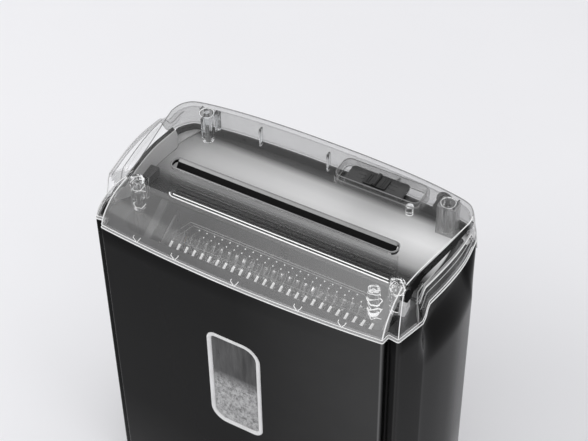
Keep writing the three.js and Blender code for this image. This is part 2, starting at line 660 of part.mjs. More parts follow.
function addCuttingBlock() {
  for (const [side, sign] of SIDES) {
    add(`side_frame_${side}`, sideFrame(sign), "steel");
    add(`front_bush_${side}`, bush(sign), "bronze", onAxis(FRONT_SHAFT));
    add(`rear_bush_${side}`, bush(sign), "bronze", onAxis(REAR_SHAFT));
    add(`gear_cowl_${side}`, gearCowl(sign), "guide");
  }
  ["front", "rear", "upper"].forEach((place, i) => {
    add(`tie_rod_${place}`, tieRod(), "steel", onAxis(TIE_RODS[i]));
  });
  const reach = CORE_RADIUS + 2;
  const frontStripper = stripper(FRONT_DISCS, [-53, -46.5], FRONT_SHAFT[0] - reach, [252, 260]);
  const rearStripper = stripper(FRONT_DISCS - 1, [32.4, 35], REAR_SHAFT[0] + reach, [250, 258]);
  add("front_stripper", frontStripper, "casing");
  add("rear_stripper", rearStripper, "casing");
  add("front_comb", frontComb(), "clear");
  add("rear_guide", rearGuide(), "guide");
}

function addDrive() {
  add("front_cutter", cutterShaft(FRONT_DISCS, [-123, 114.2]), "cutter", onAxis(FRONT_SHAFT));
  add("rear_cutter", cutterShaft(FRONT_DISCS - 1, [-123, 121]), "cutter", onAxis(REAR_SHAFT));
  add("front_sync_gear", frontSyncGear(), "gearNylon", onAxis(FRONT_SHAFT));
  add("rear_sync_gear", rearSyncGear(), "gearNylon", onAxis(REAR_SHAFT));
  add("main_gear", mainGear(), "gearNylon", onAxis(REAR_SHAFT));
  add("idler_gear", idlerGear(), "gearNylon", onAxis(IDLER_AXIS));
  add("idler_pin", idlerPin(), "steel", onAxis(IDLER_AXIS));
  add("motor_rotor", motorRotor(), "steel", onAxis(MOTOR_AXIS));
  add("motor_can", motorCan(), "motor", onAxis(MOTOR_AXIS));
}

function addControls() {
  add("switch_plate", switchPlate(), "switchBlack");
  add("switch_slider", switchSlider(), "switchBlack", [SWITCH_X, SWITCH_Y, 0]);
  add("control_board", box([-100, -30], [36, 70], [300, 301.6]), "board");
  add("relay", box([-92, -73], [42, 57], [301.6 + GAP, 317]), "component");
  add("capacitor", rod("z", [-48, 52], [301.6 + GAP, 320], 7, 14), "component");
  add("motor_lead", lead([[-40, 60, 303.4], [-20, 62, 307], [4, 58, 300], [19, 50, 292]], 1.5), "lead");
  add("sensor_bracket", sensorBracket(), "casing");
  add("sensor_lever", sensorLever(), "component", onAxis(SENSOR_AXIS));
  add("sensor_pin", rod("x", [0, 0], [-9, 9], 1.2, 10), "steel", onAxis(SENSOR_AXIS));
  add("interlock_switch", box([-144.1, -135.4], [-8, 8], [328.3, 336]), "component");
  add("interlock_button", rod("z", INTERLOCK, [312.3, 326], 1.6, 10), "component");
}

addBin();
addHead();
addCuttingBlock();
addDrive();
addControls();

export default shredder;
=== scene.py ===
import math
from collections import namedtuple

import bmesh
import bpy
from mathutils import Matrix, Vector


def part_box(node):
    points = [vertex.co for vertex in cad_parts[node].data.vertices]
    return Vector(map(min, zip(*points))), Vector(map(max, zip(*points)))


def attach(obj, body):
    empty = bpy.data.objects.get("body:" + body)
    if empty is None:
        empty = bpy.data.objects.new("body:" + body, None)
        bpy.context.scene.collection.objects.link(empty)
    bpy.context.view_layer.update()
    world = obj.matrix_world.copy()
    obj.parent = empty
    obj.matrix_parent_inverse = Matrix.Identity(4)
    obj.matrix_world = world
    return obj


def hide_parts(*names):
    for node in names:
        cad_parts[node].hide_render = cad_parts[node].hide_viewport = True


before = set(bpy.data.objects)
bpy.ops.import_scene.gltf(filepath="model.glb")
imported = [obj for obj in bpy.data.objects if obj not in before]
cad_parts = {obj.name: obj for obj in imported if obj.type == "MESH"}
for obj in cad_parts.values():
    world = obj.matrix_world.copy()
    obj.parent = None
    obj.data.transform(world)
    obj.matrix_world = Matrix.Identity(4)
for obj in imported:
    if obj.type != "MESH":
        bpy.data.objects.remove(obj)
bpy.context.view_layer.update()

# Paper shredder: a clear-topped cutting head on a black waste bin. Sizes below are in millimetres.
MM = 0.001
Span = namedtuple("Span", "x y z")


def span(node):
    """A CAD node's extent along x, y and z in millimetres."""
    low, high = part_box(node)
    return Span(*((low[i] / MM, high[i] / MM) for i in range(3)))


COVER = span("top_cover")
BIN = span("bin_shell")
DECK = span("deck_plate")
LINER = span("slot_liner")
THROAT = span("throat_guide")
COMB = span("front_comb")
PANE = span("window_pane")
WINDOW = span("window_frame")
PLATE = span("switch_plate")
SLIDER = span("switch_slider")
BUTTON = span("interlock_button")

TOP_Z = COVER.z[1]
FRONT_Y, REAR_Y = COVER.y
FRONT_HALF = 137.4
FRONT_BOW = 6.6
RIM_Z = 335.2
RIM_LIFT = 16.8
RIM_GAP = 0.8
LIP = 3.5
GRIP_FRONT = (-45, -37)
GRIP_REAR = (46, 56)
LEDGE_FRONT = (-34, -24)
RIM_DIP = 8.5
GRIP_DEPTH = 14
GRIP_Z = (276, 326)
DISH_FRONT = (-48, -24)
DISH_REAR = (44, 66)
DISH_SIDE = (120, 140)
CREASE_Y = -41.4
STEP_FRONT = (-74, -58)
STEP_REAR = (56, 76)
BIN_WALL = 3
COVER_WALL = 2.5
DECK_INSET = 4.5
SLOT_HALF = 110.5
SLOT_Y = (-9.6, -3.6)
FUNNEL_Y = 2.4
SLOT_ROUND = 5.2
POCKET_X = (20, 101)
POCKET_Y = (51, 76)
POCKET_FLOOR_Z = 356
BEZEL = 4.5
WIDE_RADIUS, TIGHT_RADIUS = 17, 9
FOOT_PROFILE = [(0, 0.8), (5, 0.8), (5.6, 0.1), (8.2, 0), (9.2, 0.3), (9.9, 1.2), (9.4, 3.7), (0, 3.7)]
INTERLOCK_RIB = Span((-149.3, -138.2), (-4, 4), (298, 312))
POSTS = [(-127.2, -37), (127.2, -37), (-122, 69), (122, 69)]
SLOPE_BOSS = (113, -50)
LIGHT_PIPE = (92, 56)
SMALL_POST = (-112.8, 73.5)
BOX_COLUMN = ((115, 132), (61.5, 74))
WALL_RIB_X = (-70, 0, 70)
CLIP_X = (-100, -60, 0, 60, 100)
MARK_RISE = 0.18
TOOTH_COUNT = 27
TOOTH_PITCH = 8.2
TOOTH_SHIFT = 0.8
TOOTH = [(-1.1, -26, 278.8), (-0.4, -25.4, 280.8), (0.3, -24.6, 283), (1, -24, 285)]
DISC_PITCH = 8
DISC_THICK = 3.4
CORE_RADIUS = 12.5
HOOK_PROFILE = [(14.4, 0), (19.6, 3), (20, 6), (19.4, 22), (18.6, 42), (17.6, 64), (16.8, 86), (16.2, 108)]


# ---------------------------------------------------------------- outlines
def smooth(low, high, value):
    share = min(1.0, max(0.0, (value - low) / (high - low)))
    return share * share * (3 - 2 * share)


def lerp(start, end, share):
    return start + (end - start) * share


def about(middle, half):
    return (middle - half, middle + half)


def through(points, steps):
    """A smooth curve through points, with a number of steps between each two."""
    curve = []
    last = len(points) - 1
    for i in range(last):
        before, here, after, beyond = (points[min(max(i + k, 0), last)] for k in (-1, 0, 1, 2))
        for step in range(steps):
            t = step / steps
            slope_in = (after - before) / 2
            slope_out = (beyond - here) / 2
            curve.append(
                (2 * t**3 - 3 * t**2 + 1) * here + (t**3 - 2 * t**2 + t) * slope_in
                + (3 * t**2 - 2 * t**3) * after + (t**3 - t**2) * slope_out)
    return curve + [points[last]]


FRONT_STEPS = 7
SPAN_STEPS = 5
FILLET_STEPS = 4


def whole_loop(front_at, corner, side_and_back):
    """A symmetric loop from its right half, counter-clockwise from the middle of the front."""
    half = [front_at(i / FRONT_STEPS) for i in range(FRONT_STEPS + 1)] + [corner] + side_and_back
    left = [(-x, y) for x, y in half[-2:0:-1]]
    return [Vector(point) for point in half + left]


BODY_LOOP = whole_loop(
    lambda t: (FRONT_HALF * t, FRONT_Y + FRONT_BOW * t * t),
    (138.6, -72.4),
    [(148.2, -73.6), (156, GRIP_FRONT[0]), (157.4, GRIP_FRONT[1]), (161.4, -8), (162.6, 18),
     (159.4, GRIP_REAR[0]), (156.6, GRIP_REAR[1]), (148.6, 71), (136, 79.6), (92, 85.2), (45, 87.6),
     (0, REAR_Y)])
TOP_LOOP = whole_loop(
    lambda t: (134 * t, CREASE_Y),
    (134.8, -40.9),
    [(135.6, -39.8), (137, -24), (138, -16), (141.3, 5), (144.8, 25), (148.4, 46), (149.2, 56),
     (145.4, 67.5), (133, 75.5), (92, 81.6), (45, 84.4), (0, 85)])

FRONT_CORNER, GROOVE, SIDE_CORNER = (FRONT_STEPS + k for k in range(3))
CORNER_RADII = {FRONT_CORNER: 2.6, GROOVE: 1.4, SIDE_CORNER: 4}
RADII = {**CORNER_RADII, **{len(BODY_LOOP) - index: radius for index, radius in CORNER_RADII.items()}}


def refined(loop):
    """The loop with smooth stretches between its corners, and each corner rounded."""
    corners = sorted(RADII)
    runs = []
    for start, end in zip(corners, corners[1:] + [corners[0] + len(loop)]):
        run = [loop[i % len(loop)] for i in range(start, end + 1)]
        runs.append(run if len(run) == 2 else through(run, SPAN_STEPS))
    fine = []
    for k, start in enumerate(corners):
        corner, before, after = runs[k][0], runs[k - 1][-2], runs[k][1]
        reach = min(RADII[start], 0.45 * (before - corner).length, 0.45 * (after - corner).length)
        first = corner + (before - corner).normalized() * reach
        second = corner + (after - corner).normalized() * reach
        for step in range(FILLET_STEPS + 1):
            t = step / FILLET_STEPS
            fine.append((1 - t) ** 2 * first + 2 * t * (1 - t) * corner + t * t * second)
        fine += runs[k][1:-1]
    return fine


def inset(loop, distance):
    """The loop with each corner moved inwards by a distance."""
    moved = []
    for i, here in enumerate(loop):
        first = (here - loop[i - 1]).normalized()
        second = (loop[(i + 1) % len(loop)] - here).normalized()
        mitre = Vector((-first.y - second.y, first.x + second.x)).normalized()
        moved.append(here + mitre * distance / max(0.35, mitre.dot(Vector((-first.y, first.x)))))
    return moved


def shrunk(loop, distance):
    """The loop scaled about its middle so that its extremes move inwards by a distance."""
    low = Vector((min(p.x for p in loop), min(p.y for p in loop)))
    high = Vector((max(p.x for p in loop), max(p.y for p in loop)))
    middle, size = (low + high) / 2, high - low
    return [Vector((middle.x + (p.x - middle.x) * (1 - 2 * distance / size.x),
                    middle.y + (p.y - middle.y) * (1 - 2 * distance / size.y))) for p in loop]


OUTER = refined(BODY_LOOP)
FRONT_FILLET = (FILLET_STEPS // 2, len(OUTER) - 72)
SIDE_FILLET = (12, len(OUTER) - 82)


def grip_share(y):
    """1 along the finger grips on both sides, 0 round the front and back."""
    return smooth(*GRIP_FRONT, y) * (1 - smooth(*GRIP_REAR, y))


def rim_height(y):
    return RIM_Z + RIM_LIFT * grip_share(y)


def bin_rim(y):
    share = grip_share(y)
    under_ledge = smooth(*GRIP_FRONT, y) * (1 - smooth(*LEDGE_FRONT, y))
    return rim_height(y) - RIM_GAP - RIM_DIP * (share * (1 - share) + under_ledge)


def dished(point, z):
    """A wall point at a height, moved inwards at the finger grips."""
    along = smooth(*DISH_FRONT, point.y) * (1 - smooth(*DISH_REAR, point.y))
    dish = GRIP_DEPTH * along * smooth(*GRIP_Z, z) * smooth(*DISH_SIDE, abs(point.x))
    return Vector((point.x - math.copysign(dish, point.x), point.y, z))


def body_ring(distance, height_at):
    return [dished(p, height_at(OUTER[i].y)) for i, p in enumerate(refined(inset(BODY_LOOP, distance)))]


def level(z):
    return lambda y: z


def arc_point(x, y, radius, degrees):
    angle = math.radians(degrees)
    return (x + radius * math.cos(angle), y + radius * math.sin(angle))


def quarter_turns(corners, steps):
    """An outline of quarter circles, each given by its middle, its radius and its first angle."""
    return [arc_point(x, y, radius, start + 90 * k / steps)
            for x, y, radius, start in corners for k in range(steps + 1)]


def rounded_rectangle(x, y, radius, steps=8):
    corners = [(x[1] - radius, y[0] + radius, radius, -90), (x[1] - radius, y[1] - radius, radius, 0),
               (x[0] + radius, y[1] - radius, radius, 90), (x[0] + radius, y[0] + radius, radius, 180)]
    return quarter_turns(corners, steps)


def stadium(half, y):
    return rounded_rectangle((-half, half), y, (y[1] - y[0]) / 2 - 0.01, 10)


def leaf(grow):
    """The window's outline in x and z: two opposite corners wide, the other two tight."""
    x, z = (WINDOW.x[0] - grow, WINDOW.x[1] + grow), (WINDOW.z[0] - grow, WINDOW.z[1] + grow)
    wide, tight = WIDE_RADIUS + grow, TIGHT_RADIUS + grow
    corners = [(x[1] - tight, z[0] + tight, tight, -90), (x[1] - wide, z[1] - wide, wide, 0),
               (x[0] + tight, z[1] - tight, tight, 90), (x[0] + wide, z[0] + wide, wide, 180)]
    return quarter_turns(corners, 12)


# ---------------------------------------------------------------- solids
def upright(u, v, w):
    return Vector((u, v, w))


def facing_front(u, v, w):
    return Vector((u, w, v))


def along_shafts(u, v, w):
    return Vector((w, u, v))


def loft(shape, rings, closed=False, slot=0):
    """A surface through rings of equally many points, capped at both ends, or closed on itself."""
    rows = [[shape.verts.new(point) for point in ring] for ring in rings]
    pairs = list(zip(rows, rows[1:] + ([rows[0]] if closed else [])))
    for low, high in pairs:
        for i in range(len(low)):
            j = (i + 1) % len(low)
            shape.faces.new((low[i], low[j], high[j], high[i])).material_index = slot
    if not closed:
        shape.faces.new(rows[0][::-1]).material_index = slot
        shape.faces.new(rows[-1]).material_index = slot


def prism(shape, outline, low, high, place=upright, round_edge=0.0, slot=0):
    """An outline pushed from one height to another, with its edges rounded over."""
    middle = sum((Vector(p) for p in outline), Vector((0, 0))) / len(outline)
    reach = max((Vector(p) - middle).length for p in outline)
    levels = [(low, round_edge), (low + 0.3 * round_edge, 0.3 * round_edge), (low + round_edge, 0),
              (high - round_edge, 0), (high - 0.3 * round_edge, 0.3 * round_edge), (high, round_edge)]
    if not round_edge:
        levels = [(low, 0), (high, 0)]
    rings = []
    for height, pulled in levels:
        scaled = [middle + (Vector(p) - middle) * (1 - pulled / reach) for p in outline]
        rings.append([place(p.x, p.y, height) for p in scaled])
    loft(shape, rings, slot=slot)


def turned(shape, profile, centre=(0, 0), place=upright, sides=32, slot=0):
    """A solid of revolution from pairs of radius and height."""
    rings = []
    for radius, height in profile:
        points = [arc_point(*centre, max(radius, 0.01), 360 * k / sides) for k in range(sides)]
        rings.append([place(u, v, height) for u, v in points])
    loft(shape, rings, slot=slot)


def bead(shape, path, radius, closed=False, sides=8, slot=0):
    """A round strip along a path."""
    points = [Vector(p) for p in path]
    count = len(points)
    rings = []
    side = None
    for i, here in enumerate(points):
        after = points[(i + 1) % count] if closed or i + 1 < count else here
        before = points[i - 1] if closed or i > 0 else here
        along = (after - before).normalized()
        if side is None:
            side = Vector((0, 0, 1)) if abs(along.z) < 0.9 else Vector((1, 0, 0))
        side = (side - along * side.dot(along)).normalized()
        other = along.cross(side)
        rings.append([here + radius * (math.cos(a) * side + math.sin(a) * other)
                      for a in (2 * math.pi * k / sides for k in range(sides))])
    loft(shape, rings, closed=closed, slot=slot)


def new_object(name, shape, materials):
    bmesh.ops.recalc_face_normals(shape, faces=shape.faces)
    mesh = bpy.data.meshes.new(name)
    shape.to_mesh(mesh)
    shape.free()
    mesh.transform(Matrix.Scale(MM, 4))
    made = bpy.data.objects.new(name, mesh)
    bpy.context.scene.collection.objects.link(made)
    for each in materials:
        mesh.materials.append(each)
    return made


def carved(made, operation, *tools):
    """The object after its mesh is cut by, or joined with, other objects, which are used up."""
    for tool in tools:
        change = made.modifiers.new("carve", "BOOLEAN")
        change.operation = operation
        change.solver = "EXACT"
        change.object = tool
    bpy.context.view_layer.update()
    result = bpy.data.meshes.new_from_object(made.evaluated_get(bpy.context.evaluated_depsgraph_get()))
    made.modifiers.clear()
    made.data = result
    for tool in tools:
        bpy.data.objects.remove(tool)
    return made


def settle(made, body, slot, *nodes, bevel=0.0, sharp=35):
    """Shades a piece, rounds its edges and puts it on its body in place of CAD nodes."""
    made.data.shade_smooth()
    made.data.set_sharp_from_angle(angle=math.radians(sharp))
    if bevel:
        rounding = made.modifiers.new("rounding", "BEVEL")
        rounding.width = bevel * MM
        rounding.segments = 2
        rounding.limit_method = "ANGLE"
        rounding.angle_limit = math.radians(sharp)
        rounding.harden_normals = True
    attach(made, body)
    if nodes:
        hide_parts(*nodes)
    return made


# ---------------------------------------------------------------- materials
class Finish:
    """A node material on one Principled shader, built a node at a time."""

    def __init__(self, name, **constants):
        self.material = bpy.data.materials.new(name)
        self.material.use_nodes = True
        self.nodes = self.material.node_tree.nodes
        self.links = self.material.node_tree.links
        self.shader = self.nodes["Principled BSDF"]
        for socket, value in constants.items():
            self.shader.inputs[socket.replace("_", " ")].default_value = value
        self.place = self.nodes.new("ShaderNodeTexCoord").outputs["Object"]

    def node(self, kind, settings=(), **inputs):
        made = self.nodes.new(kind)
        for key, value in dict(settings).items():
            setattr(made, key, value)
        for socket, value in inputs.items():
            self.feed(made.inputs[socket.replace("_", " ")], value)
        return made

    def feed(self, socket, value):
        if isinstance(value, bpy.types.NodeSocket):
            self.links.new(value, socket)
        else:
            socket.default_value = value

    def noise(self, scale, detail=4.0, stretch=(1, 1, 1), roughness=0.6):
        placed = self.node("ShaderNodeMapping", Vector=self.place, Scale=stretch)
        made = self.node("ShaderNodeTexNoise", Vector=placed.outputs[0], Scale=scale, Detail=detail,
                         Roughness=roughness)
        return made.outputs["Fac"]

    def ramp(self, value, stops):
        made = self.node("ShaderNodeValToRGB", Fac=value)
        elements = made.color_ramp.elements
        while len(elements) < len(stops):
            elements.new(0.5)
        for element, (position, colour) in zip(elements, stops):
            element.position = position
            element.color = colour if hasattr(colour, "__len__") else (colour, colour, colour, 1)
        return made.outputs["Color"]

    def range(self, value, low, high, to_low, to_high):
        made = self.node("ShaderNodeMapRange")
        for index, part in enumerate((value, low, high, to_low, to_high)):
            self.feed(made.inputs[index], part)
        return made.outputs[0]

    def combine(self, operation, first, second):
        made = self.node("ShaderNodeMath", {"operation": operation})
        self.feed(made.inputs[0], first)
        self.feed(made.inputs[1], second)
        return made.outputs[0]

    def mix(self, factor, first, second, blend="MIX"):
        made = self.node("ShaderNodeMix", {"data_type": "RGBA", "blend_type": blend})
        for index, value in ((0, factor), (6, first), (7, second)):
            self.feed(made.inputs[index], value)
        return made.outputs[2]

    def axis(self, name):
        return self.node("ShaderNodeSeparateXYZ", Vector=self.place).outputs[name]

    def bump(self, height, strength, depth=0.2):
        made = self.node("ShaderNodeBump", Strength=strength, Distance=depth * MM, Height=height)
        self.feed(self.shader.inputs["Normal"], made.outputs[0])

    def set(self, socket, value):
        self.feed(self.shader.inputs[socket], value)
        return self


def grey(value):
    return (value, value, value, 1)


def plain(name, dark, light, roughness, grain=260, bump=0.08, stretch=(1, 1, 1), **constants):
    """Moulded or turned stuff: two close tones, and roughness and relief from the same grain."""
    made = Finish(name, **constants)
    broad = made.noise(grain / 12, 3, stretch)
    fine = made.noise(grain, 5, stretch)
    made.set("Base Color", made.ramp(broad, [(0.3, dark), (0.7, light)]))
    made.set("Roughness", made.range(fine, 0.3, 0.7, roughness[0], roughness[1]))
    made.bump(fine, bump)
    return made.material


def clear_sheet(name, tone, least, most, metallic):
    """Thin clear walls: seen straight through face on, with a bright gloss towards grazing."""
    made = Finish(name, Metallic=metallic)
    flow = made.noise(14, 2, (1, 1, 0.4))
    made.set("Base Color", made.ramp(flow, [(0.3, grey(tone)), (0.7, grey(min(1.0, tone + 0.05)))]))
    made.set("Roughness", made.range(made.noise(30, 3), 0.3, 0.7, 0.03, 0.06))
    grazing = made.node("ShaderNodeLayerWeight", Blend=0.5).outputs["Facing"]
    gloss = made.combine("POWER", grazing, 3.6)
    made.set("Alpha", made.range(gloss, 0.0, 1.0, least, most))
    made.bump(flow, 0.06, 0.4)
    return made.material


def clear_block():
    """Thick clear plastic, which bends the light like glass."""
    made = Finish("clear_block", IOR=1.42, Transmission_Weight=1.0)
    flow = made.noise(14, 2, (1, 1, 0.4))
    made.set("Base Color", made.ramp(flow, [(0.3, (0.94, 0.955, 0.96, 1)), (0.7, (0.98, 0.985, 0.99, 1))]))
    made.set("Roughness", made.range(made.noise(30, 3), 0.3, 0.7, 0.0, 0.02))
    made.bump(flow, 0.1, 0.5)
    return made.material


def slope_haze_painted_sheen():
    """The cover's front slope: a satin grey haze over the clear plastic, with a painted sheen that lightens
    it towards the right.
    """
    made = Finish("slope_haze_painted_sheen", IOR=1.42)
    across = made.axis("X")
    # Painted sheen: the haze lightens from left to right and is thicker near the left end.
    tone = made.range(across, -0.14, 0.14, 0.26, 0.86)
    made.set("Alpha", made.range(across, -0.14, -0.05, 0.46, 0.25))
    streaks = made.range(made.noise(120, 3, (1, 0.1, 0.1)), 0.3, 0.7, -0.015, 0.015)
    made.set("Base Color", made.ramp(made.combine("ADD", tone, streaks), [(0, grey(0)), (1, grey(1))]))
    made.set("Roughness", made.range(made.noise(60, 3), 0.3, 0.7, 0.12, 0.18))
    return made.material


def deck_painted_reflection():
    """Gunmetal lacquer with a painted reflection that brightens towards the middle of the deck and darkens
    to its edges, and painted shade towards its left.
    """
    made = Finish("deck_painted_reflection", Specular_IOR_Level=0.15)
    depth = made.range(made.axis("Y"), DECK.y[0] * MM, DECK.y[1] * MM, 0.0, 1.0)
    # Painted reflection: dark at the front and rear edges of the deck, bright across its middle.
    painted_reflection_band = made.ramp(depth, [
        (0.0, grey(0.1)), (0.1, grey(0.03)), (0.19, grey(0.015)), (0.25, grey(0.14)), (0.32, grey(0.5)),
        (0.46, grey(0.8)), (0.6, grey(1.0)), (0.7, grey(0.95)), (0.83, grey(0.75)), (0.92, grey(0.08)),
        (1.0, grey(0.03))])
    # Painted shade: the deck darkens towards its left.
    across = made.range(made.axis("X"), -0.13, 0.12, 0.0, 1.0)
    side = made.ramp(across, [(0.0, grey(0.45)), (1.0, grey(1.0))])
    made.set("Base Color", made.mix(1.0, painted_reflection_band, side, "MULTIPLY"))
    brushed = made.noise(90, 6, (0.15, 3, 1))
    made.set("Roughness", made.range(brushed, 0.3, 0.7, 0.24, 0.26))
    return made.material


def window_plastic():
    """Smoked pane: dark with faint upright streaks above, pale and mottled below."""
    made = Finish("window_plastic", IOR=1.45)
    height = made.range(made.axis("Z"), PANE.z[0] * MM, PANE.z[1] * MM, 0.0, 1.0)
    share = made.ramp(height, [(0.44, grey(0)), (0.6, grey(1))])
    streaks = made.ramp(made.noise(210, 3, (1, 1, 0.12)), [(0.3, grey(0.02)), (0.75, grey(0.085))])
    mottle = made.ramp(made.noise(330, 5, (1, 1, 0.8), 0.75), [(0.36, grey(0.13)), (0.62, grey(0.52))])
    made.set("Base Color", made.mix(share, mottle, streaks))
    made.set("Roughness", made.range(made.noise(400), 0.3, 0.7, 0.1, 0.22))
    made.bump(made.noise(330, 4), 0.1)
    return made.material


def bin_plastic():
    """Glossy black moulding with a painted sheen that lightens it towards the right, and painted highlights
    on its right front edges.
    """
    made = Finish("bin_plastic", IOR=1.3, Specular_IOR_Level=0.12)
    across = made.range(made.axis("X"), -0.165, 0.165, 0.0, 1.0)
    # Painted sheen rising across the front towards the right, with painted highlights at the front corner
    # and at the side corner.
    tone = made.ramp(across, [
        (0.03, grey(0.002)), (0.5, grey(0.012)), (0.911, grey(0.05)), (0.914, grey(0.17)),
        (0.9165, grey(0.002)), (0.944, grey(0.002)), (0.947, grey(0.09)), (0.95, grey(0.002))])
    cloud = made.ramp(made.noise(9, 3), [(0.3, grey(0.85)), (0.7, grey(1.0))])
    made.set("Base Color", made.mix(1.0, tone, cloud, "MULTIPLY"))
    fine = made.noise(520, 4)
    made.set("Roughness", made.range(fine, 0.3, 0.7, 0.14, 0.22))
    made.bump(fine, 0.05)
    return made.material


CLEAR = clear_sheet("clear_sheet", 0.93, 0.012, 1.0, 1.0)
# A greyer, more solid copy of the clear plastic: painted shade on the cover's rear and left walls and on
# the box column.
CLEAR_SHADED = clear_sheet("clear_painted_shade", 0.45, 0.3, 1.0, 0.2)
LIP_PALE = clear_sheet("clear_lip", 0.62, 0.42, 1.0, 0.2)
FITTING = clear_block()
HAZE_AND_SHEEN = slope_haze_painted_sheen()
# White strips along clear edges: painted highlights.
EDGE_HIGHLIGHT = plain("edge_painted_highlight", grey(0.82), grey(0.95), (0.08, 0.2), 200, 0.03)
EDGE_PALE = plain("edge_pale", grey(0.42), grey(0.56), (0.08, 0.2), 200, 0.03)
EDGE_GREY = plain("edge_grey", grey(0.16), grey(0.3), (0.08, 0.2), 200, 0.03)
DECK_METAL = deck_painted_reflection()
PANE_SMOKE = window_plastic()
BIN_BLACK = bin_plastic()
BEZEL_WHITE = plain("bezel_white", grey(0.66), grey(0.8), (0.12, 0.24), 400, 0.03)
RUBBER = plain("foot_rubber", grey(0.012), grey(0.02), (0.7, 0.9), 900, 0.3)
CASING_BLACK = plain("casing_black", grey(0.008), grey(0.014), (0.38, 0.55), 900, 0.25)
FRAME_STEEL = plain("frame_steel", grey(0.2), grey(0.28), (0.25, 0.42), 160, 0.1, (0.2, 1, 1), Metallic=1.0)
CUTTER_STEEL = plain("cutter_steel", grey(0.5), grey(0.7), (0.18, 0.34), 300, 0.12, (2, 1, 1), Metallic=1.0)
BRONZE = plain("bush_bronze", (0.3, 0.18, 0.07, 1), (0.42, 0.27, 0.12, 1), (0.3, 0.5), 500, 0.15,
               Metallic=1.0)
NYLON = plain("gear_nylon", (0.6, 0.58, 0.5, 1), (0.7, 0.68, 0.6, 1), (0.35, 0.5), 350, 0.08)
MOTOR_STEEL = plain("motor_steel", grey(0.18), grey(0.28), (0.3, 0.48), 240, 0.1, (0.2, 1, 1), Metallic=0.9)
BOARD = plain("board_green", (0.008, 0.05, 0.016, 1), (0.014, 0.075, 0.025, 1), (0.4, 0.6), 700, 0.15)
COMPONENT = plain("component_black", grey(0.01), grey(0.018), (0.35, 0.5), 700, 0.15)
SWITCH_BLACK = plain("switch_black", grey(0.006), grey(0.01), (0.26, 0.4), 800, 0.12)
SWITCH_GREY = plain("switch_grey", grey(0.026), grey(0.036), (0.24, 0.36), 800, 0.12)
BEVEL_GREY = plain("bevel_grey", grey(0.26), grey(0.32), (0.18, 0.3), 400, 0.05)
SLOT_BLACK = plain("slot_black", grey(0.002), grey(0.004), (0.5, 0.7), 800, 0.12, Specular_IOR_Level=0.1)
SKIRT = plain("skirt_pale", grey(0.5), grey(0.62), (0.1, 0.2), 120, 0.03)
# Glowing by emission though no lamp: painted highlights on the clear fittings, the throat edges and the
# comb.
EDGE_GLOW = plain("edge_painted_glow", grey(0.9), grey(1.0), (0.08, 0.2), 200, 0.03,
                 Emission_Color=grey(1.0), Emission_Strength=0.45)
LEAD = plain("lead_black", grey(0.015), grey(0.025), (0.5, 0.65), 600, 0.15)
GUIDE = plain("guide_grey", grey(0.05), grey(0.08), (0.3, 0.45), 260, 0.08, Metallic=0.3)


# ---------------------------------------------------------------- waste bin
def bin_body():
    shape = bmesh.new()
    base = BIN.z[0]
    rise = [GRIP_Z[0] + k * 4 for k in range(0, 11)]
    outer = [body_ring(5, level(base)), body_ring(3.4, level(base + 0.4)), body_ring(0.8, level(base + 3)),
             body_ring(0, level(base + 6))]
    outer += [body_ring(0, level(z)) for z in (120, 200, 270, *rise)]
    top = [body_ring(0, lambda y: bin_rim(y) - 0.8), body_ring(0.3, lambda y: bin_rim(y) - 0.2),
           body_ring(0.8, bin_rim), body_ring(BIN_WALL - 0.8, bin_rim),
           body_ring(BIN_WALL - 0.2, lambda y: bin_rim(y) - 0.3),
           body_ring(BIN_WALL, lambda y: bin_rim(y) - 1)]
    inner = [body_ring(BIN_WALL, level(z)) for z in (*reversed(rise), 200, base + 12)]
    inner += [body_ring(BIN_WALL + 2, level(base + 6)), body_ring(BIN_WALL + 6, level(base + BIN_WALL))]
    loft(shape, outer + top + inner)
    made = new_object("bin_body", shape, [BIN_BLACK])
    tool = bmesh.new()
    prism(tool, leaf(0.3), FRONT_Y - 8, FRONT_Y + 12, facing_front)
    carved(made, "DIFFERENCE", new_object("window_cutter", tool, [BIN_BLACK]))
    settle(made, "bin", "bin_black", "bin_shell")
    shape = bmesh.new()
    prism(shape, rounded_rectangle(INTERLOCK_RIB.x, INTERLOCK_RIB.y, 1), *INTERLOCK_RIB.z, upright, 0.8)
    settle(new_object("interlock_rib", shape, [BIN_BLACK]), "bin", "bin_black")


def window():
    """The bezel ring, crowned towards the front, and the smoked pane inside it."""
    shape = bmesh.new()
    front, back = WINDOW.y
    sections = [(0, back), (0, front + 1.2), (-0.4, front + 0.4), (-1.2, front),
                (-BEZEL + 1.4, front + 0.2), (-BEZEL + 0.3, front + 1), (-BEZEL, front + 2), (-BEZEL, back)]
    loft(shape, [[facing_front(*p, y) for p in leaf(grow)] for grow, y in sections], closed=True)
    settle(new_object("window_bezel", shape, [BEZEL_WHITE]), "bin", "bezel_white", "window_frame", sharp=50)
    shape = bmesh.new()
    prism(shape, leaf(-BEZEL - 0.3), *PANE.y, facing_front, 0.3)
    settle(new_object("window_lens", shape, [PANE_SMOKE]), "bin", "window_smoke", "window_pane")


def feet():
    for place in ("front_left", "front_right", "rear_left", "rear_right"):
        foot = span(f"foot_{place}")
        centre = (sum(foot.x) / 2, sum(foot.y) / 2)
        shape = bmesh.new()
        turned(shape, FOOT_PROFILE, centre)
        settle(new_object(f"rubber_foot_{place}", shape, [RUBBER]), "bin", "foot_rubber", f"foot_{place}")


# ---------------------------------------------------------------- clear cover
ROUND_PROFILE = [(0, 0), (0.1, 0.3), (0.26, 0.56), (0.55, 0.85), (1, 1)]
LEDGE_PROFILE = [(0, 0), (0.05, 0.1), (0.45, 0.28), (0.56, 0.5), (1, 1)]
PROFILE_STEPS = 5


def straight(points, steps):
    return [lerp(a, b, k / steps) for a, b in zip(points, points[1:]) for k in range(steps)] + [points[-1]]


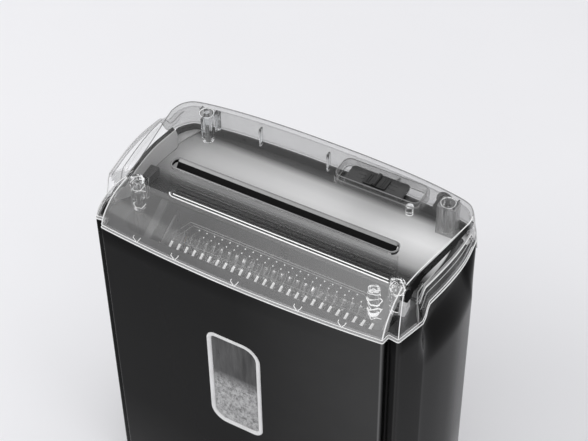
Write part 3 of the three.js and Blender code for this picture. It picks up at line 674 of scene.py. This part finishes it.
ROUND_CURVE = through([Vector(p) for p in ROUND_PROFILE], PROFILE_STEPS)
LEDGE_CURVE = straight([Vector(p) for p in LEDGE_PROFILE], PROFILE_STEPS)


def side_share(y):
    """1 where the cover has a ledge and a riser, 0 where it is one full curve."""
    return smooth(*STEP_FRONT, y) * (1 - smooth(*STEP_REAR, y))


def cover_rings(distance):
    rim = refined(inset(BODY_LOOP, distance))
    lip = refined(inset(BODY_LOOP, distance + 0.5))
    top = refined(shrunk(TOP_LOOP, distance))
    heights = [rim_height(p.y) for p in OUTER]
    rings = [[Vector((*p, z)) for p, z in zip(rim, heights)]]
    for full, stepped in zip(ROUND_CURVE, LEDGE_CURVE):
        ring = []
        for p, end, z, outer in zip(lip, top, heights, OUTER):
            share = lerp(full, stepped, side_share(outer.y))
            level_here = lerp(z + LIP, TOP_Z - distance, share.y)
            ring.append(Vector((*lerp(p, end, share.x), level_here)))
        rings.append(ring)
    return rings


OUTSIDE = cover_rings(0)


def cover_shell():
    shape = bmesh.new()
    loft(shape, cover_rings(COVER_WALL)[::-1] + OUTSIDE)
    made = new_object("cover_shell", shape, [CLEAR, HAZE_AND_SHEEN, CLEAR_SHADED, LIP_PALE])
    tray = bmesh.new()
    x, y = (POCKET_X[0] - 2, POCKET_X[1] + 2), (POCKET_Y[0] - 2, POCKET_Y[1] + 2)
    prism(tray, rounded_rectangle(x, y, 8), POCKET_FLOOR_Z - 2, TOP_Z - 1)
    carved(made, "UNION", new_object("tray", tray, [CLEAR]))
    pocket = bmesh.new()
    prism(pocket, rounded_rectangle(POCKET_X, POCKET_Y, 6), POCKET_FLOOR_Z, TOP_Z + 2)
    slot = bmesh.new()
    prism(slot, liner_outline(0.3), TOP_Z - 14, TOP_Z + 2)
    carved(made, "DIFFERENCE", new_object("pocket", pocket, [CLEAR]), new_object("slot", slot, [CLEAR]))
    for face in made.data.polygons:
        middle = face.center / MM
        on_front = middle.y < CREASE_Y - 0.5 and abs(middle.x) < FRONT_HALF
        at_rear_or_left = middle.y > 60 or middle.x < 0 and middle.y > -38
        if middle.z < rim_height(middle.y) + LIP - 0.6 and middle.y < -50:
            face.material_index = 3
        elif face.normal.z > 0.05 and face.normal.y < 0 and on_front:
            face.material_index = 1
        # Walls at the rear and on the left take the greyer copy: painted shade.
        elif abs(face.normal.z) < 0.75 and at_rear_or_left:
            face.material_index = 2
    settle(made, "head", "clear_plastic", "top_cover", sharp=28)


def liner_outline(grow):
    edge = 1.2 + grow
    x, y = (-SLOT_HALF - edge, SLOT_HALF + edge), (SLOT_Y[0] - edge, FUNNEL_Y + edge)
    return rounded_rectangle(x, y, SLOT_ROUND + edge)


def loop_part(ring, keep):
    """The stretches of a closed ring whose points pass a test, as open paths."""
    flags = [keep(p) for p in ring]
    starts = [i for i in range(len(ring)) if flags[i] and not flags[i - 1]]
    paths = []
    for start in starts:
        path = []
        i = start
        while flags[i % len(ring)]:
            path.append(ring[i % len(ring)])
            i += 1
        paths.append(path)
    return paths


def on_right_side(point):
    return -39 < point.y < 62 and point.x > 120


def cover_edges():
    """Strips along the cover's rounded edges: white and pale strips are painted highlights, grey strips
    painted dark edge lines, and the black strip painted shade.
    """
    white = bmesh.new()
    rim, lip, panel = OUTSIDE[0], OUTSIDE[1], OUTSIDE[-1]
    ledge = OUTSIDE[1 + 2 * PROFILE_STEPS]
    bead(white, [p + Vector((0, 0, 0.4)) for p in rim], 0.5, closed=True)
    for path in loop_part(lip, lambda p: p.y < 40):
        bead(white, path, 0.35)
    for ring, size in ((panel, 0.5), (ledge, 0.45)):
        for path in loop_part(ring, on_right_side):
            bead(white, path, size)
    for corner, size in ((FRONT_FILLET, 0.6), (SIDE_FILLET, 0.45)):
        for at in corner:
            bead(white, [ring[at] for ring in OUTSIDE[1:]], size)
    settle(new_object("cover_bright_edges", white, [EDGE_HIGHLIGHT]), "head", "clear_plastic")
    pale = bmesh.new()
    for at, size in ((8, 0.3), (12, 0.45), (14, 0.3)):
        for path in loop_part(OUTSIDE[1 + at], on_right_side):
            bead(pale, [p - Vector((0, 0, 0.5)) for p in path], size)
    settle(new_object("cover_pale_edges", pale, [EDGE_PALE]), "head", "clear_plastic")
    dark = bmesh.new()
    for path in loop_part(panel, lambda p: p.y > 20 or (p.x < 0 and p.y > -40.5)):
        bead(dark, path, 0.4)
    for path in loop_part(OUTSIDE[1 + 2 * PROFILE_STEPS], lambda p: -44 < p.y < 70 and p.x < -120):
        bead(dark, path, 0.35)
    settle(new_object("cover_grey_edges", dark, [EDGE_GREY]), "head", "clear_plastic")
    # A black strip inside the right wall along the panel's edge: painted shade.
    shade = bmesh.new()
    inner = Vector((-0.9, 0, -0.4))
    for lower, upper in zip(*(loop_part(OUTSIDE[row], on_right_side) for row in (-4, -2))):
        loft(shade, [[low, high, high + inner, low + inner] for low, high in zip(lower, upper)])
    settle(new_object("cover_shade_strip", shade, [SLOT_BLACK]), "head", "clear_plastic")


def swirl(shape, x, y, z, fall, radius, turns, size):
    """A wound bright line, as the light makes in the thick plastic of a boss."""
    steps = 9 * turns
    path = []
    for k in range(steps + 1):
        share = k / steps
        reach = radius * (0.72 + 0.28 * math.sin(5.7 * k))
        height = z - fall * share + 2.2 * math.sin(2.3 * k)
        path.append((*arc_point(x, y, reach, 360 * turns * share), height))
    bead(shape, path, size, sides=6)


def hoop(x, y, radius, z):
    return [(*arc_point(x, y, radius, 20 * k), z) for k in range(18)]


def cover_fittings():
    """Screw posts, a boss, the light pipe, wall ribs and the row of clips inside the cover, with glowing
    swirls and rings painted as highlights in the plastic.
    """
    shape = bmesh.new()
    under = TOP_Z - COVER_WALL - 0.1
    foot = DECK.z[1] + 0.3
    for x, y in POSTS:
        turned(shape, [(2.4, foot), (5.2, foot), (5.6, foot + 1), (5.8, under - 8), (6.9, under - 0.4),
                       (6.9, under), (2.4, under), (2.2, foot + 6)], (x, y))
        for turn in (35, 155, 275):
            arm_x, arm_y = arc_point(x, y, 8.5, turn)
            arm = rounded_rectangle(about(arm_x, 0.7), about(arm_y, 2.6), 0.6, 3)
            prism(shape, arm, under - 22, under, upright, 0.2)
    turned(shape, [(1.6, under - 20), (2.6, under - 19), (2.8, under)], SMALL_POST, sides=20)
    turned(shape, [(2.2, 330), (4.6, 330), (5.4, 350), (5.4, 359), (2.2, 359)], SLOPE_BOSS)
    pipe = [(0, 343), (1.6, 343.3), (2.9, 344.4), (3.5, 346.4), (3.5, POCKET_FLOOR_Z - 2.2), (0, 353.8)]
    turned(shape, pipe, LIGHT_PIPE)
    for x in WALL_RIB_X:
        prism(shape, rounded_rectangle(about(x, 0.9), (75, 80.5), 0.7, 3), 338, under - 4, upright, 0.3)
    settle(new_object("cover_fittings", shape, [FITTING]), "head", "clear_plastic")
    # Clip hooks, swirls, rings and pipe edges in the glowing material: painted highlights.
    shape = bmesh.new()
    for x in CLIP_X:
        wall = FRONT_Y + FRONT_BOW * (x / FRONT_HALF) ** 2 + COVER_WALL + 0.2
        for side in (-1, 1):
            hook = [(x, wall, 335.5), (x + side * 3.2, wall, 340.5), (x + side * 3.4, wall + 2, 341)]
            bead(shape, hook, 0.3)
    for x, y in POSTS[:2]:
        swirl(shape, x, y, under - 2.5, 7, 8.4, 2, 0.38)
        swirl(shape, x, y, under - 20, 8, 7.6, 1, 0.35)
    swirl(shape, *SLOPE_BOSS, 354, 14, 8.4, 2, 0.42)
    swirl(shape, *SLOPE_BOSS, 342, 14, 7.6, 2, 0.38)
    for x, y in POSTS[2:]:
        for radius, z in ((6.6, under - 1), (5.4, foot + 1)):
            bead(shape, hoop(x, y, radius, z), 0.25, closed=True, sides=6)
    x, y = LIGHT_PIPE
    bead(shape, hoop(x, y, 3.2, 345.5), 0.3, closed=True, sides=6)
    for edge in about(x, 3.2):
        bead(shape, [(edge, y - 1, 346), (edge, y - 1, 353)], 0.25, sides=6)
    settle(new_object("cover_clips", shape, [EDGE_GLOW]), "head", "clear_plastic")
    side_skirts()
    box_column()
    corner_ledge()
    ledge_end()


def corner_ledge():
    """The pale ledge inside the rear left corner of the cover, with a notch towards the deck."""
    shape = bmesh.new()
    outline = [(-143, 49), (-140.3, 59.2), (-134.6, 76.4), (-139, 75), (-145.5, 68), (-149.6, 60),
               (-152, 54.8), (-150, 53.2), (-147.2, 52)]
    prism(shape, outline, DECK.z[1] + 0.4, DECK.z[1] + 1.8, upright, 0.3)
    settle(new_object("corner_ledge", shape, [EDGE_PALE]), "head", "clear_plastic")


def ledge_end():
    """The dark-topped block that closes the front end of the right ledge."""
    side = [(-54, 345), (-44.5, 349), (-44, 357.2), (-50, 357.6), (-52.6, 355)]
    pale = bmesh.new()
    prism(pale, side, 137.4, 143.2, along_shafts, 0.6)
    settle(new_object("ledge_end", pale, [EDGE_PALE]), "head", "clear_plastic")
    dark = bmesh.new()
    lid = [(-49.6, 357.7), (-44, 357.3), (-38.6, 360.4), (-38.8, 361.2)]
    prism(dark, lid, 137.8, 143, along_shafts, 0.2)
    settle(new_object("ledge_end_top", dark, [SLOT_BLACK]), "head", "clear_plastic")


def side_skirts():
    """The cover's inner walls along both grips, which close it against the inside of the bin."""
    shape = bmesh.new()
    low = DECK.z[1] + 0.3
    outer = body_ring(3.5, lambda y: bin_rim(y) - 1.5)
    inner = body_ring(4.4, lambda y: bin_rim(y) - 1.5)
    for side in (-1, 1):
        along = [i for i, p in enumerate(OUTER) if p.x * side > 120 and -44 < p.y < 57]
        along.sort(key=lambda i: OUTER[i].y)
        rings = []
        for i in along:
            inner_foot, outer_foot = (Vector((*p.xy, low)) for p in (inner[i], outer[i]))
            rings.append([outer[i], inner[i], inner_foot, outer_foot])
        loft(shape, rings)
    settle(new_object("side_skirts", shape, [SKIRT]), "head", "clear_plastic")


def box_column():
    """Four thin walls round the rear right post, with dark top edges."""
    walls = bmesh.new()
    lines = bmesh.new()
    x, y = BOX_COLUMN
    low, high = DECK.z[1] + 0.4, TOP_Z - COVER_WALL - 0.2
    outline = rounded_rectangle(x, y, 1.2, 3)
    inner = rounded_rectangle((x[0] + 1.2, x[1] - 1.2), (y[0] + 1.2, y[1] - 1.2), 0.6, 3)
    loft(walls, [[Vector((*p, z)) for p in ring] for ring, z in
                 ((outline, low), (outline, high), (inner, high), (inner, low))], closed=True)
    bead(lines, [(*p, high - 0.5) for p in outline], 0.35, closed=True, sides=6)
    settle(new_object("box_column", walls, [CLEAR_SHADED]), "head", "clear_plastic")
    for corner in ((x[0], y[0]), (x[1], y[0])):
        bead(lines, [(*corner, low), (*corner, high)], 0.3, sides=6)
    settle(new_object("box_column_edges", lines, [EDGE_GREY]), "head", "clear_plastic")


# ---------------------------------------------------------------- feed slot
def slot_liner():
    """A thin frame round the opening, its black rear wall with a grey bevel, and its rounded ends."""
    shape = bmesh.new()
    low, high = LINER.z
    ring = high - 1.1
    inner = rounded_rectangle((-SLOT_HALF, SLOT_HALF), (SLOT_Y[0], FUNNEL_Y), SLOT_ROUND)
    sections = [(liner_outline(0), ring), (liner_outline(0), high - 0.3), (liner_outline(-0.3), high),
                (inner, high - 0.1), (inner, ring)]
    loft(shape, [[Vector((*p, z)) for p in outline] for outline, z in sections], closed=True, slot=2)
    half = SLOT_HALF - 2.5
    foot, bend, top = (SLOT_Y[1], low + 2), (0.4, 361.6), (FUNNEL_Y, high - 0.4)
    for (y, z), (end_y, end_z), slot in ((foot, bend, 0), (bend, top, 1)):
        side = [(y, z), (end_y, end_z), (end_y + 0.9, end_z - 0.8), (y + 0.9, z - 0.8)]
        prism(shape, side, -half, half, along_shafts, slot=slot)
    wall = [(SLOT_Y[1], low), (SLOT_Y[1] + 1, low), (SLOT_Y[1] + 1, low + 2), (SLOT_Y[1], low + 2)]
    prism(shape, wall, -half, half, along_shafts)
    turn = [p for p in inner if abs(p[0]) > half - 1.5]
    for side in (-1, 1):
        path = [Vector(p) for p in turn if p[0] * side > 0]
        path.sort(key=lambda p: p.y)
        back = [p + Vector((side * 0.8, 0)) for p in path]
        rings = []
        for a, b in zip(path, back):
            rings.append([Vector((*p, z)) for p, z in ((a, ring), (a, ring - 3), (b, ring - 3), (b, ring))])
        loft(shape, rings)
    made = new_object("slot_surround", shape, [SLOT_BLACK, BEVEL_GREY, EDGE_GREY])
    settle(made, "head", "switch_black", "slot_liner")


def throat():
    """The clear passage under the opening, with glowing strips painted as the highlights on its edges at
    the deck and black strips of painted shade along them.
    """
    shape = bmesh.new()
    low, high = THROAT.z
    flange = DECK.z[1] + 0.3
    section = [(0, low), (1.4, low), (2, low + 0.6), (2, flange), (3.6, flange), (4, flange + 0.6),
               (3.6, flange + 1.5), (2.2, flange + 1.5), (2, flange + 2), (2, high - 0.4), (1.6, high),
               (0, high)]
    rings = []
    for grow, z in section:
        outline = stadium(SLOT_HALF + grow, (SLOT_Y[0] - grow, SLOT_Y[1] + grow))
        rings.append([Vector((*p, z)) for p in outline])
    loft(shape, rings, closed=True)
    settle(new_object("throat_walls", shape, [CLEAR]), "head", "clear_plastic", "throat_guide")
    top = flange + 1.7
    # Glowing strips: painted highlights on the front edges.
    shape = bmesh.new()
    for grow in (0.5, 3.6):
        outline = stadium(SLOT_HALF + grow, (SLOT_Y[0] - grow, SLOT_Y[1] + grow))
        front = [(*p, top) for p in outline if p[1] < SLOT_Y[0] + 0.5]
        bead(shape, sorted(front), 0.6)
    settle(new_object("throat_bright_edges", shape, [EDGE_GLOW]), "head", "clear_plastic")
    # Black strips: painted shade in the gap and along the rear edge.
    shape = bmesh.new()
    gap = (SLOT_Y[0] - 3, SLOT_Y[0] - 1.1)
    prism(shape, rounded_rectangle((-SLOT_HALF, SLOT_HALF), gap, 0.8, 4), flange + 1.4, flange + 1.9)
    outline = stadium(SLOT_HALF + 0.5, (SLOT_Y[0] - 0.5, SLOT_Y[1] + 0.5))
    bead(shape, sorted((*p, top) for p in outline if p[1] > SLOT_Y[1]), 0.35)
    settle(new_object("throat_dark_edges", shape, [SLOT_BLACK]), "head", "clear_plastic")


# ---------------------------------------------------------------- deck and guides
def deck():
    """The dark plate behind the cutters, open for the throat and the interlock button."""
    shape = bmesh.new()
    low, high = DECK.z
    ring = body_ring(DECK_INSET, level(low))
    rings = [[Vector((*p.xy, z)) for p in ring] for z in (low, high)]
    loft(shape, rings)
    made = new_object("deck_top", shape, [DECK_METAL])
    bay = bmesh.new()
    prism(bay, rounded_rectangle((-170, 170), (-110, DECK.y[0]), 1, 2), low - 2, high + 2)
    hole = bmesh.new()
    prism(hole, stadium(SLOT_HALF + 2.3, (SLOT_Y[0] - 2.3, SLOT_Y[1] + 2.3)), low - 2, high + 2)
    plunger = bmesh.new()
    x, y = ((start - 0.8, end + 0.8) for start, end in (BUTTON.x, BUTTON.y))
    prism(plunger, rounded_rectangle(x, y, 2), low - 2, high + 2)
    carved(made, "DIFFERENCE", new_object("bay", bay, [DECK_METAL]), new_object("hole", hole, [DECK_METAL]),
           new_object("plunger", plunger, [DECK_METAL]))
    settle(made, "head", "deck_gunmetal", "deck_plate", bevel=0.3)


def comb():
    """The clear comb in front of the paper: a plate with a rim, and bright dots and a row of teeth that
    glow as painted highlights.
    """
    low, high = COMB.z
    front, back = COMB.y
    half = COMB.x[1]
    outline = [(-half, low), (half, low), (half, low + 7), (89, high), (-89, high), (-half, low + 7)]
    shape = bmesh.new()
    prism(shape, outline, back - 1.8, back, facing_front, 0.3)
    settle(new_object("comb_plate", shape, [CLEAR]), "head", "clear_plastic", "front_comb")
    shape = bmesh.new()
    teeth = [(k - TOOTH_COUNT // 2) * TOOTH_PITCH + TOOTH_SHIFT for k in range(TOOTH_COUNT)]
    for x in teeth:
        bead(shape, [(x + across, y, z) for across, y, z in TOOTH], 1.15)
    dot = [(0, back - 3), (0.5, back - 2.7), (0.6, back - 1.9), (0, back - 1.8)]
    for row, z in enumerate((high - 6, high - 13)):
        for k in range(-10, 11):
            turned(shape, dot, (k * DISC_PITCH + row * DISC_PITCH / 2, z), facing_front, 8)
    settle(new_object("comb_teeth", shape, [EDGE_GLOW]), "head", "clear_plastic")
    shape = bmesh.new()
    for x in teeth:
        rib = [(x + 1, -23.8, 285.2), (x + 1, front, low + 12), (x + 1, back - 1.8, low + 16)]
        bead(shape, rib, 0.3, sides=6)
    for shrink in (0, 3):
        rim = [(x * (1 - shrink / 100), back - 2, max(z - shrink, low + 1.5)) for x, z in outline]
        bead(shape, rim, 0.3, closed=True, sides=6)
    settle(new_object("comb_ribs", shape, [EDGE_PALE]), "head", "clear_plastic")


# ---------------------------------------------------------------- cutters
def cutter(name, node, body, discs, turn):
    """A hexagonal core with hooked discs set round it in a slow spiral."""
    place = span(node)
    centre = (sum(place.y) / 2, sum(place.z) / 2)
    shape = bmesh.new()
    core = [arc_point(*centre, CORE_RADIUS, 60 * k) for k in range(6)]
    prism(shape, core, -108.4, 108.4, along_shafts, 0.6)
    shaft = [(4.5, place.x[0]), (5, place.x[0] + 0.5), (5, place.x[1] - 0.5), (4.5, place.x[1])]
    turned(shape, shaft, centre, along_shafts, 24)
    for i in range(discs):
        x = (i - (discs - 1) / 2) * DISC_PITCH
        outline = []
        for hook in range(3):
            start = turn * i + 120 * hook
            outline += [arc_point(*centre, radius, start + angle) for radius, angle in HOOK_PROFILE]
        prism(shape, outline, x - DISC_THICK / 2, x + DISC_THICK / 2, along_shafts, 0.25)
    settle(new_object(name, shape, [CUTTER_STEEL]), body, "cutter_steel", node, sharp=30)


# ---------------------------------------------------------------- switch
def mode_switch():
    """The marked bed, the slider with its cross ridge, and the edges of their tray."""
    shape = bmesh.new()
    prism(shape, rounded_rectangle(PLATE.x, PLATE.y, 3), *PLATE.z, upright, 0.5)
    middle = (sum(PLATE.x) / 2, sum(PLATE.y) / 2)
    for side in (-1, 1):
        for offset in (-2.4, 2.4):
            x = middle[0] + side * 15.5
            mark = rounded_rectangle(about(x, 3.4), about(middle[1] + offset, 0.5), 0.4, 3)
            prism(shape, mark, PLATE.z[1] - 0.2, PLATE.z[1] + MARK_RISE)
        x = middle[0] + side * 12.4
        mark = rounded_rectangle(about(x, 0.5), about(middle[1], 2.8), 0.4, 3)
        prism(shape, mark, PLATE.z[1] - 0.2, PLATE.z[1] + MARK_RISE)
    settle(new_object("switch_bed", shape, [SWITCH_GREY]), "head", "switch_black", "switch_plate")
    shape = bmesh.new()
    x = sum(SLIDER.x) / 2
    y = sum(SLIDER.y) / 2
    base = rounded_rectangle(SLIDER.x, SLIDER.y, 1.6)
    prism(shape, base, PLATE.z[1] + 0.3, PLATE.z[1] + 1.5, upright, 0.4)
    ridge = [(x - 2.4, PLATE.z[1] + 1), (x + 2.4, PLATE.z[1] + 1), (x + 1.6, TOP_Z - 0.5), (x + 1, TOP_Z),
             (x - 1, TOP_Z), (x - 1.6, TOP_Z - 0.5)]
    prism(shape, ridge, *SLIDER.y, facing_front, 0.4)
    for offset in (-8, -6, 6, 8):
        groove = rounded_rectangle(about(x + offset, 0.4), about(y, 5.6), 0.3, 3)
        prism(shape, groove, PLATE.z[1] + 1.4, PLATE.z[1] + 2, upright, 0.15)
    made = new_object("switch_thumb", shape, [SWITCH_BLACK])
    settle(made, "mode_switch", "switch_black", "switch_slider")
    shape = bmesh.new()
    for inset_by, z in ((0, TOP_Z - 0.3), (1.5, POCKET_FLOOR_Z + 0.4)):
        x, y = ((start + inset_by, end - inset_by) for start, end in (POCKET_X, POCKET_Y))
        bead(shape, [(*p, z) for p in rounded_rectangle(x, y, 6 - inset_by)], 0.4, closed=True)
    settle(new_object("switch_tray_edges", shape, [EDGE_GREY]), "head", "clear_plastic")


# ---------------------------------------------------------------- carried-over CAD nodes
NODE_FINISHES = {
    "lower_casing": CASING_BLACK, "cord_gland": COMPONENT, "front_stripper": CASING_BLACK,
    "rear_stripper": CASING_BLACK, "rear_guide": GUIDE, "idler_pin": FRAME_STEEL,
    "motor_rotor": FRAME_STEEL, "motor_can": MOTOR_STEEL, "front_sync_gear": NYLON,
    "rear_sync_gear": NYLON, "main_gear": NYLON, "idler_gear": NYLON, "control_board": BOARD,
    "relay": COMPONENT, "capacitor": COMPONENT, "motor_lead": LEAD, "sensor_bracket": CASING_BLACK,
    "sensor_lever": COMPONENT, "sensor_pin": FRAME_STEEL, "interlock_switch": COMPONENT,
    "interlock_button": COMPONENT,
}
for start, finish in (("side_frame", FRAME_STEEL), ("tie_rod", FRAME_STEEL), ("cover_screw", FRAME_STEEL),
                      ("front_bush", BRONZE), ("rear_bush", BRONZE), ("gear_cowl", GUIDE)):
    NODE_FINISHES.update({name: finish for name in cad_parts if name.startswith(start)})


def finish_nodes():
    for name, finish in NODE_FINISHES.items():
        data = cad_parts[name].data
        data.materials.clear()
        data.materials.append(finish)


# ---------------------------------------------------------------- stage, light and camera
FLOOR_HALF = 12000


def stage():
    """A wide pale floor under a soft sky that is brightest just above the horizon."""
    shape = bmesh.new()
    for x, y in ((-1, -1), (1, -1), (1, 1), (-1, 1)):
        shape.verts.new((x * FLOOR_HALF, y * FLOOR_HALF, 0))
    shape.faces.new(shape.verts)
    floor = new_object("floor", shape, [plain("floor_white", (0.87, 0.87, 0.89, 1), (0.89, 0.89, 0.91, 1),
                                              (0.6, 0.75), 30, 0.01)])
    world = bpy.data.worlds.new("studio")
    bpy.context.scene.world = world
    world.use_nodes = True
    nodes, links = world.node_tree.nodes, world.node_tree.links
    direction = nodes.new("ShaderNodeTexCoord").outputs["Generated"]
    split = nodes.new("ShaderNodeSeparateXYZ")
    links.new(direction, split.inputs[0])
    ramp = nodes.new("ShaderNodeValToRGB")
    stops = [(0.0, 0.55), (0.25, 0.5), (0.5, 0.95), (0.75, 1.15), (1.0, 0.9)]
    while len(ramp.color_ramp.elements) < len(stops):
        ramp.color_ramp.elements.new(0.5)
    for element, (position, value) in zip(ramp.color_ramp.elements, stops):
        element.position = position
        element.color = (value, value, value * 1.01, 1)
    links.new(split.outputs["Z"], ramp.inputs[0])
    background = nodes["Background"]
    links.new(ramp.outputs[0], background.inputs["Color"])
    background.inputs["Strength"].default_value = 0.89


def softbox(name, place, target, size, power):
    light = bpy.data.lights.new(name, "AREA")
    light.shape = "RECTANGLE"
    light.size, light.size_y = size
    light.energy = power
    made = bpy.data.objects.new(name, light)
    made.location = place
    made.rotation_euler = (Vector(target) - Vector(place)).to_track_quat("-Z", "Y").to_euler()
    bpy.context.scene.collection.objects.link(made)


def lights():
    middle = (0, 0, 0.33)
    softbox("key", (-1.2, -1.1, 1.8), middle, (1.2, 0.8), 12)
    softbox("fill", (1.6, -0.5, 0.9), middle, (0.8, 1.2), 3)


CAMERA_PLACE = Vector((0.5029, -0.8348, 1.2859))
CAMERA_AZIMUTH = 30.597
CAMERA_ELEVATION = 44.136
CAMERA_ROLL = -0.971
CAMERA_LENS = 96.2


def camera():
    azimuth, elevation, roll = (math.radians(a) for a in (CAMERA_AZIMUTH, CAMERA_ELEVATION, CAMERA_ROLL))
    back = Vector((math.sin(azimuth) * math.cos(elevation), -math.cos(azimuth) * math.cos(elevation),
                   math.sin(elevation)))
    right = (-back).cross(Vector((0, 0, 1))).normalized()
    up = right.cross(-back)
    turned_right = right * math.cos(roll) + up * math.sin(roll)
    turned_up = up * math.cos(roll) - right * math.sin(roll)
    data = bpy.data.cameras.new("camera")
    data.lens = CAMERA_LENS
    made = bpy.data.objects.new("camera", data)
    facing = Matrix((turned_right, turned_up, back)).transposed().to_4x4()
    made.matrix_world = Matrix.Translation(CAMERA_PLACE) @ facing
    bpy.context.scene.collection.objects.link(made)
    bpy.context.scene.camera = made


camera()
stage()
lights()
bpy.context.scene.view_settings.view_transform = "Standard"
bin_body()
window()
feet()
cover_shell()
cover_edges()
cover_fittings()
slot_liner()
throat()
deck()
comb()
cutter("front_cutter_stack", "front_cutter", "front_cutter_set", 27, 13)
cutter("rear_cutter_stack", "rear_cutter", "rear_cutter_set", 26, -13)
mode_switch()
finish_nodes()
